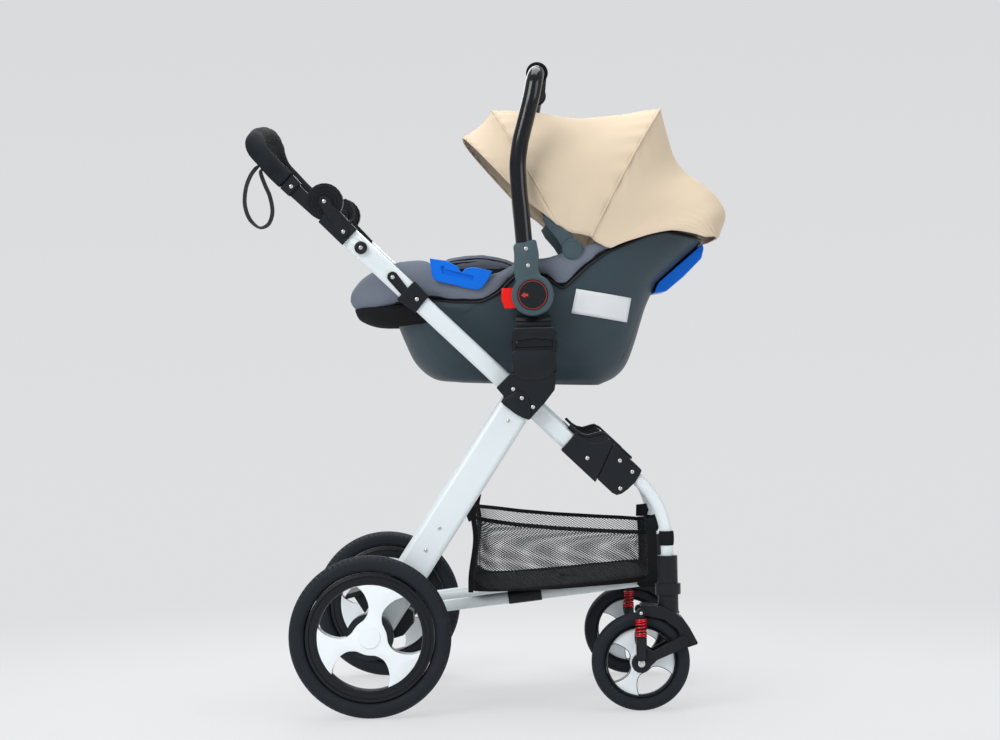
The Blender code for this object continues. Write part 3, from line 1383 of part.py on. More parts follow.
def side_belt_guide(side):
    """The hook on the carrier's side that leads a vehicle's lap belt."""
    outline = [
        (-0.1056, 0.8048),
        (-0.1020, 0.7736),
        (-0.0965, 0.7650),
        (-0.0317, 0.7480),
        (-0.0161, 0.7477),
        (-0.0030, 0.7630),
        (0.0058, 0.7798),
        (-0.0280, 0.7876),
        (-0.0422, 0.7851),
        (-0.0495, 0.7782),
        (-0.0563, 0.7896),
        (-0.0773, 0.8000),
    ]
    slot = [(-0.0860, 0.7905), (-0.0840, 0.7780), (-0.0299, 0.7640), (-0.0275, 0.7715), (-0.0790, 0.7845), (-0.0800, 0.7905)]
    name = "side_belt_guide_" + SIDE_NAMES[side]
    near = SHELL_HALF_WIDTH + GAP
    guide = piece(name, prism(outline, *across_side(side, near, near + 0.0078)), "guide_blue", "carrier")
    soften(guide, 0.0012)
    cut(guide, prism(slot, *across_side(side, near + 0.004, near + 0.012)))


def rear_belt_guide():
    """The crescent under the head end's lip that leads a shoulder belt."""
    outline = [
        (0.2969, 0.7365),
        (0.3208, 0.7405),
        (0.3525, 0.7660),
        (0.3860, 0.7990),
        (0.3905, 0.8170),
        (0.3885, 0.8255),
        (0.3065, 0.7569),
    ]
    guide = piece("rear_belt_guide", prism(outline, -0.085, 0.085), "guide_blue", "carrier")
    soften(guide, 0.0012)


def carry_path():
    """The bail's run from one hub arm over the crossbar to the other."""
    side_run = (
        (0.0720, 0.2315, 0.7900),
        (0.0630, 0.2315, 0.8280),
        (0.0570, 0.2315, 0.8950),
        (0.0570, 0.2315, 0.9700),
        (0.0700, 0.2310, 1.0365),
        (0.0840, 0.2300, 1.0980),
        (0.0885, 0.2230, 1.1250),
        (0.0910, 0.2040, 1.1430),
        (0.0920, 0.1750, 1.1500),
        (0.0925, 0.1200, 1.1520),
    )
    right = [(x, -y, z) for x, y, z in side_run]
    left = [(x, y, z) for x, y, z in side_run[::-1]]
    return right + [(0.0925, 0.0, 1.1525)] + left


BUTTON_TRAVEL = 0.005


def carry_button_outline(grow):
    """The red button at the rear of the carry handle's hub, and its pocket when grown."""
    deep = CARRIER_PIVOT_X - CARRIER_HUB_RADIUS + 0.0100 + (BUTTON_TRAVEL + GAP if grow else 0.0)
    return [
        (CARRIER_PIVOT_X - 0.0545, CARRIER_PIVOT_Z + 0.0130 + grow),
        (CARRIER_PIVOT_X - 0.0560, CARRIER_PIVOT_Z - 0.0050),
        (CARRIER_PIVOT_X - 0.0500, CARRIER_PIVOT_Z - 0.0230 - grow),
        (deep, CARRIER_PIVOT_Z - 0.0230 - grow),
        (deep, CARRIER_PIVOT_Z + 0.0130 + grow),
    ]


def carry_handle():
    """The bail with its hub arms; the tube thickens into the grip on the crossbar."""
    joint_axis("carry_handle_turn", (CARRIER_PIVOT_X, 0.0, CARRIER_PIVOT_Z), "carrier")
    path = [Vector(point) for point in carry_path()]
    sections = []
    for point in path:
        grip = min(1.0, max(0.0, (0.195 - abs(point.y)) / 0.02))
        sections.append(circle(CARRY_TUBE_RADIUS + 0.0035 * grip, 12))
    form = swept(path, None, sections=sections)
    bail = piece("carry_handle", form, "gloss_black", "carry_handle_turn")
    arm = [
        (CARRIER_PIVOT_X - 0.0309, CARRIER_PIVOT_Z + 0.0893),
        (CARRIER_PIVOT_X + 0.0058, CARRIER_PIVOT_Z + 0.0969),
        (CARRIER_PIVOT_X + 0.0123, CARRIER_PIVOT_Z + 0.0701),
        (CARRIER_PIVOT_X + 0.0117, CARRIER_PIVOT_Z + 0.0420),
        (CARRIER_PIVOT_X + 0.0250, CARRIER_PIVOT_Z + 0.0200),
        (CARRIER_PIVOT_X + 0.0100, CARRIER_PIVOT_Z - 0.0100),
        (CARRIER_PIVOT_X - 0.0250, CARRIER_PIVOT_Z + 0.0050),
        (CARRIER_PIVOT_X - 0.0319, CARRIER_PIVOT_Z + 0.0401),
        (CARRIER_PIVOT_X - 0.0313, CARRIER_PIVOT_Z + 0.0710),
    ]
    centre = (CARRIER_PIVOT_X, CARRIER_PIVOT_Z)
    for side in (RIGHT, LEFT):
        layer = across_side(side, CARRY_INNER, CARRY_OUTER)
        recess = across_side(side, CARRY_INNER + INLAY, CARRY_OUTER - INLAY)
        weld(bail, prism(arm, *recess))
        weld(bail, disc(centre, CARRIER_HUB_RADIUS, *layer, steps=22))
        inside = across_side(side, CARRY_INNER + 0.0050 - GAP, CARRY_OUTER - 0.0055 + GAP)
        cut(bail, prism(carry_button_outline(GAP), *inside))
        name = "carry_button_" + SIDE_NAMES[side]
        joint_axis(name + "_slide", (CARRIER_PIVOT_X, side * CARRY_INNER, CARRIER_PIVOT_Z), "carry_handle_turn")
        layer = across_side(side, CARRY_INNER + 0.0050, CARRY_OUTER - 0.0055)
        button = piece(name, prism(carry_button_outline(0.0), *layer), "button_red", name + "_slide")
        soften(button, 0.0012)


BOW_ANGLE = 117.9
REAR_BOW_ANGLE = 56.8
VISOR_ANGLE = 132.0
HEM_ANGLE = 4.0
RIB_ANGLES = (4.0, 12.0, 19.0, 26.0, 34.0, 42.0, 50.0, 56.8, 70.0, 87.0, 104.0, 117.9, 124.0, 132.0)
RIB_TOPS = (0.268, 0.292, 0.288, 0.274, 0.258, 0.261, 0.283, 0.3115, 0.268, 0.248, 0.268, 0.2985, 0.2880, 0.2900)
RIB_FEET = (0.236, 0.180, 0.120, 0.075, 0.052, 0.040, 0.034, 0.030, 0.028, 0.028, 0.034, 0.048, 0.056, 0.110)


def canopy_rib(angle, inset, points=13):
    """One arch of the canopy in the plane that leans at angle about the pivot axis.

    The arch runs from the right hem over the top to the left hem; inset draws it inwards.
    """
    top = float(np.interp(angle, RIB_ANGLES, RIB_TOPS)) - inset
    foot = float(np.interp(angle, RIB_ANGLES, RIB_FEET))
    half = CANOPY_HALF_WIDTH - inset
    lean = math.radians(angle)
    rib = []
    for i in range(points):
        t = math.pi * i / (points - 1)
        s = math.sin(t)
        c = math.cos(t)
        width = -half * math.copysign(abs(c) ** 0.62, c)
        reach = foot + (top - foot) * s**0.80
        rib.append((CANOPY_X + reach * math.cos(lean), width, CANOPY_Z + reach * math.sin(lean)))
    return rib


def canopy_panel(name, start, end, steps, body):
    """A thin closed sheet between two leaning arches."""
    angles = np.linspace(start, end, steps + 1)
    rings = []
    for angle in angles:
        outer = canopy_rib(float(angle), 0.0)
        inner = canopy_rib(float(angle), FABRIC)
        rings.append(outer + inner[::-1])
    piece(name, skin(rings), "beige_fabric", body)


def canopy():
    """The canopy: visor on the front bow, the middle panel with the rear bow, and the rear panel."""
    joint_axis("canopy_bow_turn", (CANOPY_X, 0.0, CANOPY_Z), "carrier")
    joint_axis("canopy_middle_turn", (CANOPY_X, 0.0, CANOPY_Z), "carrier")
    split = 0.25
    canopy_panel("canopy_front", VISOR_ANGLE, BOW_ANGLE + split, 2, "canopy_bow_turn")
    canopy_panel("canopy_middle", BOW_ANGLE - split, REAR_BOW_ANGLE + split, 5, "canopy_middle_turn")
    canopy_panel("canopy_rear", REAR_BOW_ANGLE - split, HEM_ANGLE, 6, "carrier")
    rod = 0.0030
    lean = math.radians(BOW_ANGLE)
    arch = [Vector(point) for point in canopy_rib(BOW_ANGLE, FABRIC + rod + 0.0022)]
    bow = piece("canopy_bow", swept(arch, circle(rod, 6)), "slate_plastic", "canopy_bow_turn")
    out = Vector((math.cos(lean), 0.0, math.sin(lean)))
    inside = SHELL_HALF_WIDTH - SHELL_WALL - 0.0022 + GAP
    for side in (RIGHT, LEFT):
        centre = (CANOPY_X, CANOPY_Z)
        square = Vector((-out.z, 0.0, out.x))
        base = Vector((CANOPY_X, 0.0, CANOPY_Z))
        corners = (
            base + square * 0.0130,
            base + out * 0.0750 + square * 0.0200,
            base + out * 0.0850 - square * 0.0060,
            base - square * 0.0130,
        )
        arm = [(point.x, point.z) for point in corners]
        weld(bow, prism(arm, *across_side(side, inside + INLAY, inside + 0.0044)))
        weld(bow, disc(centre, 0.0180, *across_side(side, inside, inside + 0.0150), steps=18))


def build():
    clear_scene()
    joint_axis("frame", (HUB_X, 0.0, HUB_Z))
    joint_axis("front_frame", (KNEE_X, 0.0, KNEE_Z), "frame")
    joint_axis("rear_frame", (HUB_X, 0.0, HUB_Z), "frame")
    joint_axis("carrier", (CARRIER_PIVOT_X, 0.0, ADAPTER_TOP), "frame")
    push_handle()
    wrist_strap()
    release_cable()
    rear_axle()
    brake_pedal()
    front_crossmember()
    lower_bars()
    basket()
    for side in (RIGHT, LEFT):
        side_tube(side)
        tube_collar(side)
        hub(side)
        seat_adapter(side)
        upper_fold_housing(side)
        lower_fold_housing(side)
        fold_latch(side)
        handle_socket(side)
        handle_button(side)
        rear_leg(side)
        rear_wheel(side)
        front_leg(side)
        caster_fork(side)
        swing_arm(side)
        suspension_spring(side)
        front_wheel(side)
    carrier_shell()
    seat_liner()
    harness()
    rear_belt_guide()
    for side in (RIGHT, LEFT):
        side_belt_guide(side)
    carry_handle()
    canopy()


build()
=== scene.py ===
"""Looks of a travel system stroller: a white folding chassis with an infant carrier docked on it.

Metres. +X is forward, +Y the left side, +Z up. The right side, at negative Y, faces the camera.
Each operator makes one group of pieces round the fixed frame. A piece is a surface worked out with
numpy: a shape of two parameters on a grid, or a section carried along a path.
"""

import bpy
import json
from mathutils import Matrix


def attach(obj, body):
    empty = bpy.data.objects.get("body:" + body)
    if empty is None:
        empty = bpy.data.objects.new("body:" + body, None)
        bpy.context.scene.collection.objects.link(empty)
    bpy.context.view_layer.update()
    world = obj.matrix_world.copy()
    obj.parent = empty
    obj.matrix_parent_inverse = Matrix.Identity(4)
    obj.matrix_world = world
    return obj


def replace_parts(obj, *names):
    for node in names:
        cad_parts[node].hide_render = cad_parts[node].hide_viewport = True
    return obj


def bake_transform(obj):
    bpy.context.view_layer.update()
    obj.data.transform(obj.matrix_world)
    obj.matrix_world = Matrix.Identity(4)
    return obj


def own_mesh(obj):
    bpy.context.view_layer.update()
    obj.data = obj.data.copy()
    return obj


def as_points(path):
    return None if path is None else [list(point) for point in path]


bl_info = {
    "name": "Travel system stroller",
    "version": (1, 0, 0),
    "blender": (4, 5, 0),
    "location": "3D View > Sidebar > Stroller",
    "description": "Builds the stroller's cloth, padding, wheels and finishes round its frame",
    "category": "Object",
}

import json
import math

import bmesh
import bpy
import numpy as np
from mathutils import Matrix, Vector

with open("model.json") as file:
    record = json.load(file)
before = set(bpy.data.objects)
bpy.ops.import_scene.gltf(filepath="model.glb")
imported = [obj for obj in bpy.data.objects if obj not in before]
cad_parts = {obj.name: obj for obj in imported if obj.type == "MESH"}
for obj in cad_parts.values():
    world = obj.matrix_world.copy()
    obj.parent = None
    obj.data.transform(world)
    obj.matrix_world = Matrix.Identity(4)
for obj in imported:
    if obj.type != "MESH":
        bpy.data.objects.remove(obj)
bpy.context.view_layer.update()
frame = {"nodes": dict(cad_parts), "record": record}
NODES = frame["nodes"]

RIGHT, LEFT = -1, 1
SIDES = ((RIGHT, "right"), (LEFT, "left"))

# Places that the frame's solids have, in metres
HUB = (0.053, 0.554)
SLOPE = math.radians(44.2)
TUBE_Y = 0.224
REAR_AXLE = (-0.221, 0.1425)
REAR_Y = 0.283
FRONT_AXLE = (0.2525, 0.0865)
CASTER = (0.303, 0.250)
PIVOT = (0.076, 0.735)
CANOPY_PIVOT = (0.148, 0.816)
SHELL_WIDE = 0.203
STRUT_X, STRUT_OUT, COIL = 0.2530, 0.0333, 0.0086
ALONG = np.array((math.cos(SLOPE), -math.sin(SLOPE)))
ACROSS = np.array((math.sin(SLOPE), math.cos(SLOPE)))


def on_tube(along, across):
    """The (x, z) place of a point given along and across the long side tube, from the hub's pivot."""
    return tuple(np.array(HUB) + along * ALONG + across * ACROSS)


SWELL_FRAMES = 20

# The camera's place, its yaw, pitch and roll in degrees, and its focal length in sensor widths
EYE = (0.058, -4.506, 0.636)
EYE_TURN = (0.57, -0.43, 1.2)
FOCAL = 2.419

# Settings


def colour_setting(name, description, default):
    return bpy.props.FloatVectorProperty(
        name=name, description=description, default=default, subtype="COLOR", size=3, min=0.0, max=1.0
    )


def length_setting(name, description, default):
    return bpy.props.FloatProperty(
        name=name, description=description, default=default, unit="LENGTH", min=0.0, precision=4
    )


class StrollerChassisSettings(bpy.types.PropertyGroup):
    """Colours and sizes of the chassis."""

    coat: colour_setting("Frame", "Powder coat of the tubes", (0.655, 0.712, 0.730))
    plastic: colour_setting("Mouldings", "Black fittings", (0.010, 0.012, 0.015))
    wheel: colour_setting("Wheels", "White wheel arms", (0.76, 0.81, 0.83))
    tyre: colour_setting("Tyres", "Tyre rubber", (0.011, 0.014, 0.019))
    foam: colour_setting("Foam", "Grip of the push handle", (0.011, 0.013, 0.016))
    spring: colour_setting("Springs", "Lacquer of the suspension springs", (0.44, 0.004, 0.010))
    cloth: colour_setting("Basket", "Cloth and netting of the basket", (0.009, 0.009, 0.011))
    tread_depth: length_setting("Tread depth", "Depth of the grooves in the tyres", 0.0016)
    net_pitch: length_setting("Net pitch", "Distance between the holes of the netting", 0.0065)


class StrollerCarrierSettings(bpy.types.PropertyGroup):
    """Colours and sizes of the infant carrier."""

    shell: colour_setting("Shell", "Slate moulding of the tub", (0.034, 0.053, 0.066))
    arms: colour_setting("Hub arms", "Slate moulding of the handle's arms", (0.053, 0.083, 0.096))
    bail: colour_setting("Carry handle", "Gloss tube of the bail", (0.0035, 0.004, 0.006))
    canopy: colour_setting("Canopy", "Woven canopy cloth", (0.62, 0.510, 0.380))
    lining: colour_setting("Lining", "Padded edge cloth", (0.150, 0.172, 0.215))
    inner: colour_setting("Inner padding", "Cloth of the bowl", (0.012, 0.012, 0.014))
    guide: colour_setting("Belt guides", "Blue hooks", (0.0, 0.138, 0.670))
    button: colour_setting("Buttons", "Red release buttons", (0.68, 0.009, 0.006))
    weave: length_setting("Weave", "Distance between threads", 0.0007)


class StrollerStageSettings(bpy.types.PropertyGroup):
    """Light and background."""

    floor: colour_setting("Floor", "Floor of the studio", (0.79, 0.795, 0.805))
    backdrop: colour_setting("Backdrop", "Background seen by the camera", (0.735, 0.740, 0.755))
    key: bpy.props.FloatProperty(name="Key light", description="Power of the main softbox", default=150.0, min=0.0)
    fill: bpy.props.FloatProperty(name="Fill", description="Strength of the world's light", default=0.45, min=0.0)


def chassis():
    return bpy.context.scene.stroller_chassis


def carrier():
    return bpy.context.scene.stroller_carrier


def studio():
    return bpy.context.scene.stroller_studio


# Shader maths


class Socket:
    """An output socket; arithmetic on it adds the Math nodes that work it out."""

    def __init__(self, shade, out):
        self.shade = shade
        self.out = out

    def maths(self, operation, *values):
        inputs = dict(enumerate(values))
        return self.shade.node("ShaderNodeMath", {"operation": operation}, inputs)

    def __add__(self, other):
        return self.maths("ADD", self, other)

    def __radd__(self, other):
        return self.maths("ADD", other, self)

    def __sub__(self, other):
        return self.maths("SUBTRACT", self, other)

    def __rsub__(self, other):
        return self.maths("SUBTRACT", other, self)

    def __mul__(self, other):
        return self.maths("MULTIPLY", self, other)

    def __rmul__(self, other):
        return self.maths("MULTIPLY", other, self)

    def __truediv__(self, other):
        return self.maths("DIVIDE", self, other)

    def __rtruediv__(self, other):
        return self.maths("DIVIDE", other, self)

    def __pow__(self, other):
        return self.maths("POWER", self, other)

    def __gt__(self, other):
        return self.maths("GREATER_THAN", self, other)

    def __lt__(self, other):
        return self.maths("LESS_THAN", self, other)

    def sine(self):
        return self.maths("SINE", self)

    def size(self):
        return self.maths("ABSOLUTE", self)

    def least(self, other):
        return self.maths("MINIMUM", self, other)

    def step(self, low, high):
        """0 at low and 1 at high, smooth between."""
        settings = {"interpolation_type": "SMOOTHSTEP"}
        return self.shade.node("ShaderNodeMapRange", settings, {0: self, 1: low, 2: high})


class Shade:
    """The nodes of one material, with the Principled shader and its sockets at hand."""

    def __init__(self, name):
        self.material = bpy.data.materials.new(name)
        self.material.use_nodes = True
        self.tree = self.material.node_tree
        self.principled = self.tree.nodes["Principled BSDF"]
        self.where = self.node("ShaderNodeTexCoord", output="Object")
        self.flat = self.node("ShaderNodeTexCoord", output="UV")

    def node(self, kind, settings=None, inputs=None, output=0):
        """Adds a node: its settings first, then values or links for its sockets; gives one output."""
        made = self.tree.nodes.new(kind)
        for key, value in (settings or {}).items():
            setattr(made, key, value)
        for key, value in (inputs or {}).items():
            self.feed(made.inputs[key], value)
        return Socket(self, made.outputs[output])

    def feed(self, socket, value):
        if isinstance(value, Socket):
            self.tree.links.new(value.out, socket)
        else:
            socket.default_value = value

    def noise(self, scale, detail=3.0, rough=0.5):
        inputs = {"Vector": self.where, "Scale": scale, "Detail": detail, "Roughness": rough}
        return self.node("ShaderNodeTexNoise", None, inputs)

    def cells(self, scale):
        return self.node("ShaderNodeTexVoronoi", None, {"Vector": self.where, "Scale": scale})

    def parts(self, vector):
        """The X, Y and Z of a vector."""
        split = self.node("ShaderNodeSeparateXYZ", None, {0: vector}).out.node
        return [Socket(self, out) for out in split.outputs]

    def blend(self, factor, one, other):
        """A colour between two, by factor."""
        inputs = {0: factor, 6: self.solid(one), 7: self.solid(other)}
        return self.node("ShaderNodeMix", {"data_type": "RGBA"}, inputs, output=2)

    def solid(self, value):
        return value if isinstance(value, Socket) else (*value, 1.0)

    def tint(self, colour, amount, scale=4.0):
        """The colour with slow light and dark drifts of the given amount."""
        light = [min(1.0, part * (1 + amount)) for part in colour]
        dark = [part * (1 - amount) for part in colour]
        return self.blend(self.noise(scale).step(0.35, 0.65), dark, light)

    def bump(self, height, distance, strength, under=None):
        """Relief from a height, laid over the relief under it."""
        inputs = {"Height": height, "Distance": distance, "Strength": strength}
        if under is not None:
            inputs["Normal"] = under
        return self.node("ShaderNodeBump", None, inputs)

    def done(self, **sockets):
        """Feeds the Principled shader; a name's underscores stand for its spaces."""
        for key, value in sockets.items():
            name = key.replace("_", " ")
            self.feed(self.principled.inputs[name], self.solid(value) if name == "Base Color" else value)
        return self.material


def powder_coat(name, colour):
    """Satin paint with a faint orange-peel skin and a few rubbed, slightly duller patches."""
    shade = Shade(name)
    rubbed = shade.noise(9.0, 4.0).step(0.55, 0.75)
    peel = shade.noise(420.0, 2.0)
    return shade.done(
        Base_Color=shade.tint(colour, 0.018, 5.0),
        Roughness=0.30 + 0.08 * rubbed,
        Coat_Weight=0.12,
        Coat_Roughness=0.12,
        Normal=shade.bump(peel, 0.00012, 0.5),
    )


def moulded(name, colour, roughness, grain, spread=0.06):
    """Moulded plastic: a fine spark-eroded grain with slow drifts of tone and sheen."""
    shade = Shade(name)
    fine = shade.noise(grain, 2.0, 0.7)
    slow = shade.noise(14.0, 3.0)
    return shade.done(
        Base_Color=shade.tint(colour, spread, 11.0),
        Roughness=roughness - 0.06 + 0.12 * slow,
        Specular_IOR_Level=0.22,
        Normal=shade.bump(fine, 0.00010, 0.55),
    )


def polished(name, colour):
    """Gloss-painted tube with faint handling marks."""
    shade = Shade(name)
    marks = shade.noise(60.0, 6.0, 0.7).step(0.5, 0.8)
    return shade.done(
        Base_Color=shade.tint(colour, 0.05),
        Roughness=0.15 + 0.12 * marks,
        Specular_IOR_Level=0.45,
        Normal=shade.bump(shade.noise(160.0, 2.0), 0.00006, 0.4),
    )


def rubber(name, colour):
    """Tyre rubber with dusty bloom and a fine mould texture."""
    shade = Shade(name)
    dust = shade.noise(22.0, 6.0, 0.65).step(0.50, 0.78)
    pale = [part * 1.9 + 0.004 for part in colour]
    return shade.done(
        Base_Color=shade.blend(0.55 * dust, colour, pale),
        Roughness=0.66 + 0.16 * dust,
        Specular_IOR_Level=0.20,
        Normal=shade.bump(shade.noise(900.0, 3.0), 0.00015, 0.6),
    )


def foam(name, colour):
    """Closed-cell foam: small pits and a soft, matt skin."""
    shade = Shade(name)
    pits = shade.cells(900.0)
    return shade.done(
        Base_Color=shade.tint(colour, 0.12, 30.0),
        Roughness=0.86,
        Specular_IOR_Level=0.15,
        Normal=shade.bump(pits, 0.0004, 0.7),
    )


def steel(name, colour):
    """Bright zinc-plated screw steel."""
    shade = Shade(name)
    return shade.done(
        Base_Color=shade.tint(colour, 0.05, 90.0),
        Metallic=1.0,
        Roughness=0.24 + 0.12 * shade.noise(300.0),
        Normal=shade.bump(shade.noise(700.0), 0.00005, 0.4),
    )


def weave_height(shade, pitch, mapped=True):
    """Plain weave on the piece's own map: each thread rises over one cross thread and under the next.

    Cloth that has no map is woven in space: one thread along X, the other along Y and Z.
    """
    u, v, w = shade.parts(shade.flat if mapped else shade.where)
    if not mapped:
        u, v = u + 0.31 * v, w + 0.83 * v
    turn = math.pi / pitch
    warp = (u * turn).sine()
    weft = (v * turn).sine()
    return warp * weft * 0.5 + 0.5, warp.size() * weft.size()


def cloth(name, colour, pitch, spread=0.05, crinkle=0.0004, mapped=True):
    """Woven cloth: threads on the piece's own map, painted darker where they sink and lighter where they rise as
    painted shade, slubs, soft crinkles and a little sheen.
    """
    shade = Shade(name)
    over, round_thread = weave_height(shade, pitch, mapped)
    slub = shade.noise(500.0, 2.0)
    # Painted shade and highlight: each thread is darker where it sinks under a cross thread and lighter where it
    # rises over one.
    dark = [part * (1 - 2.2 * spread) for part in colour]
    threads = shade.blend(over, dark, [min(1.0, part * (1 + spread)) for part in colour])
    drift = shade.noise(7.0, 3.0).step(0.3, 0.7)
    height = round_thread * 0.35 + over * 0.25 + slub * 0.3
    fine = shade.bump(height, pitch * 0.35, 0.5)
    return shade.done(
        Base_Color=shade.blend(0.25 * drift, threads, [part * 0.93 for part in colour]),
        Roughness=0.84 + 0.08 * slub,
        Specular_IOR_Level=0.15,
        Normal=shade.bump(shade.noise(38.0, 3.0), crinkle, 0.6, fine),
    )


def netting(name, colour, pitch):
    """Knitted netting: round-cornered holes in staggered rows, cut out by Alpha."""
    shade = Shade(name)
    u, v, _ = shade.parts(shade.flat)
    turn = math.pi / pitch
    rows = (v * turn + u * turn * 1.55).sine()
    back = (v * turn - u * turn * 1.55).sine()
    yarn = rows.size() * back.size()
    return shade.done(
        Base_Color=shade.tint(colour, 0.15, 60.0),
        Roughness=0.78,
        Alpha=1.0 - yarn.step(0.24, 0.31),
        Normal=shade.bump(shade.noise(900.0, 2.0) + yarn, 0.0003, 0.6),
    )


def webbing(name, colour):
    """Ribbed narrow webbing: close ribs across the strap, painted lighter on their crests and darker in the grooves
    between them as painted shade.
    """
    shade = Shade(name)
    u, v, _ = shade.parts(shade.flat)
    ribs = (u * (math.pi / 0.0011)).sine().size()
    edge = (v * (math.pi / 0.0009)).sine().size()
    return shade.done(
        # Painted shade and highlight: the colour runs from 0.6 of itself in the grooves to 1.4 of itself on the rib
        # crests.
        Base_Color=shade.blend(ribs, [part * 0.6 for part in colour], [part * 1.4 for part in colour]),
        Roughness=0.80,
        Normal=shade.bump(ribs + 0.4 * edge, 0.0003, 0.7),
    )


def paper(name, colour):
    """A blank satin sticker with very faint soiling."""
    shade = Shade(name)
    soil = shade.noise(60.0, 5.0).step(0.5, 0.8)
    return shade.done(
        Base_Color=shade.blend(soil * 0.3, colour, [part * 0.86 for part in colour]),
        Roughness=0.42,
        Normal=shade.bump(shade.noise(300.0), 0.00005, 0.3),
    )


RECIPES = {
    "black_moulding": (moulded, "chassis.plastic", 0.37, 1100.0),
    "white_paint": (powder_coat, "chassis.coat"),
    "wheel_white": (moulded, "chassis.wheel", 0.30, 300.0, 0.02),
    "tyre_rubber": (rubber, "chassis.tyre"),
    "grip_foam": (foam, "chassis.foam"),
    "spring_red": (polished, "chassis.spring"),
    "cable_sheath": (moulded, (0.020, 0.020, 0.022), 0.5, 900.0),
    "screw_steel": (steel, (0.72, 0.72, 0.70)),
    "strap_webbing": (webbing, (0.016, 0.016, 0.018)),
    "black_cloth": (cloth, "chassis.cloth", 0.0009, 0.10),
    "pad_cloth": (cloth, "chassis.cloth", 0.0010, 0.10, 0.0006, False),
    "basket_net": (netting, "chassis.cloth", "chassis.net_pitch"),
    "slate_moulding": (moulded, "carrier.shell", 0.46, 620.0, 0.04),
    "arm_moulding": (moulded, "carrier.arms", 0.44, 620.0, 0.04),
    "gloss_tube": (polished, "carrier.bail"),
    "bail_grip": (foam, (0.006, 0.006, 0.007)),
    "canopy_cloth": (cloth, "carrier.canopy", "carrier.weave", 0.03),
    "lining_cloth": (cloth, "carrier.lining", 0.0010, 0.06, 0.0006, False),
    "inner_cloth": (cloth, "carrier.inner", 0.0012, 0.10),
    "guide_blue": (moulded, "carrier.guide", 0.36, 500.0, 0.03),
    "button_red": (moulded, "carrier.button", 0.34, 500.0, 0.03),
    "ring_red": (moulded, (0.55, 0.035, 0.02), 0.4, 500.0),
    "blank_sticker": (paper, (0.70, 0.72, 0.74)),
}
FINISHES = {}


def setting(path):
    """A setting's value, from its group's name and its own."""
    group, key = path.split(".")
    value = getattr(getattr(bpy.context.scene, "stroller_" + group), key)
    return value if isinstance(value, float) else tuple(value)


def finish(name):
    """The named finish, made from its recipe when it is first asked for."""
    if name not in FINISHES:
        make, *values = RECIPES[name]
        values = [setting(value) if isinstance(value, str) else value for value in values]
        FINISHES[name] = make(name, *values)
    return FINISHES[name]


# Shapes


def smooth_curve(points, count, closed=False):
    """Points at even steps off a Catmull-Rom curve: each span is a cubic with its neighbours' slopes."""
    p = np.asarray(points, float)
    if closed:
        p = np.vstack([p[-1:], p, p[:2]])
    else:
        p = np.vstack([2 * p[0] - p[1], p, 2 * p[-1] - p[-2]])
    spans = len(p) - 3
    t = np.linspace(0, spans, count, endpoint=not closed)
    i = np.minimum(t.astype(int), spans - 1)
    f = (t - i)[:, None]
    a, b, c, d = p[i], p[i + 1], p[i + 2], p[i + 3]
    return 0.5 * (2 * b + (c - a) * f + (2 * a - 5 * b + 4 * c - d) * f**2 + (3 * b - a - 3 * c + d) * f**3)


def unit(vectors):
    return vectors / np.maximum(np.linalg.norm(vectors, axis=-1, keepdims=True), 1e-12)


def circle(radius, sides):
    turn = np.arange(sides) * 2 * math.pi / sides
    return np.stack([radius * np.cos(turn), radius * np.sin(turn)], -1)


def flat_oval(half_a, half_b, sides, power=4.0):
    """A superellipse: cos and sin of the turn, each drawn out by 2 / power."""
    turn = np.arange(sides) * 2 * math.pi / sides
    c, s = np.cos(turn), np.sin(turn)
    shape = 2 / power
    return np.stack(
        [half_a * np.sign(c) * np.abs(c) ** shape, half_b * np.sign(s) * np.abs(s) ** shape], -1
    )


def carried(path, section, ref):
    """A section's (side, up) points carried along a path: side is tangent x ref, up is side x tangent."""
    path = np.asarray(path, float)
    tangent = unit(np.gradient(path, axis=0))
    side = unit(np.cross(tangent, np.broadcast_to(ref, path.shape)))
    up = np.cross(side, tangent)
    section = np.broadcast_to(section, (len(path), *np.shape(section)[-2:]))
    return path[:, None] + side[:, None] * section[..., :1] + up[:, None] * section[..., 1:]


def run_lengths(grid, axis):
    """How far each point lies along its row or column of the grid."""
    steps = np.linalg.norm(np.diff(grid, axis=axis), axis=-1)
    zero = np.zeros_like(np.take(steps, [0], axis=axis))
    return np.concatenate([zero, np.cumsum(steps, axis=axis)], axis=axis)


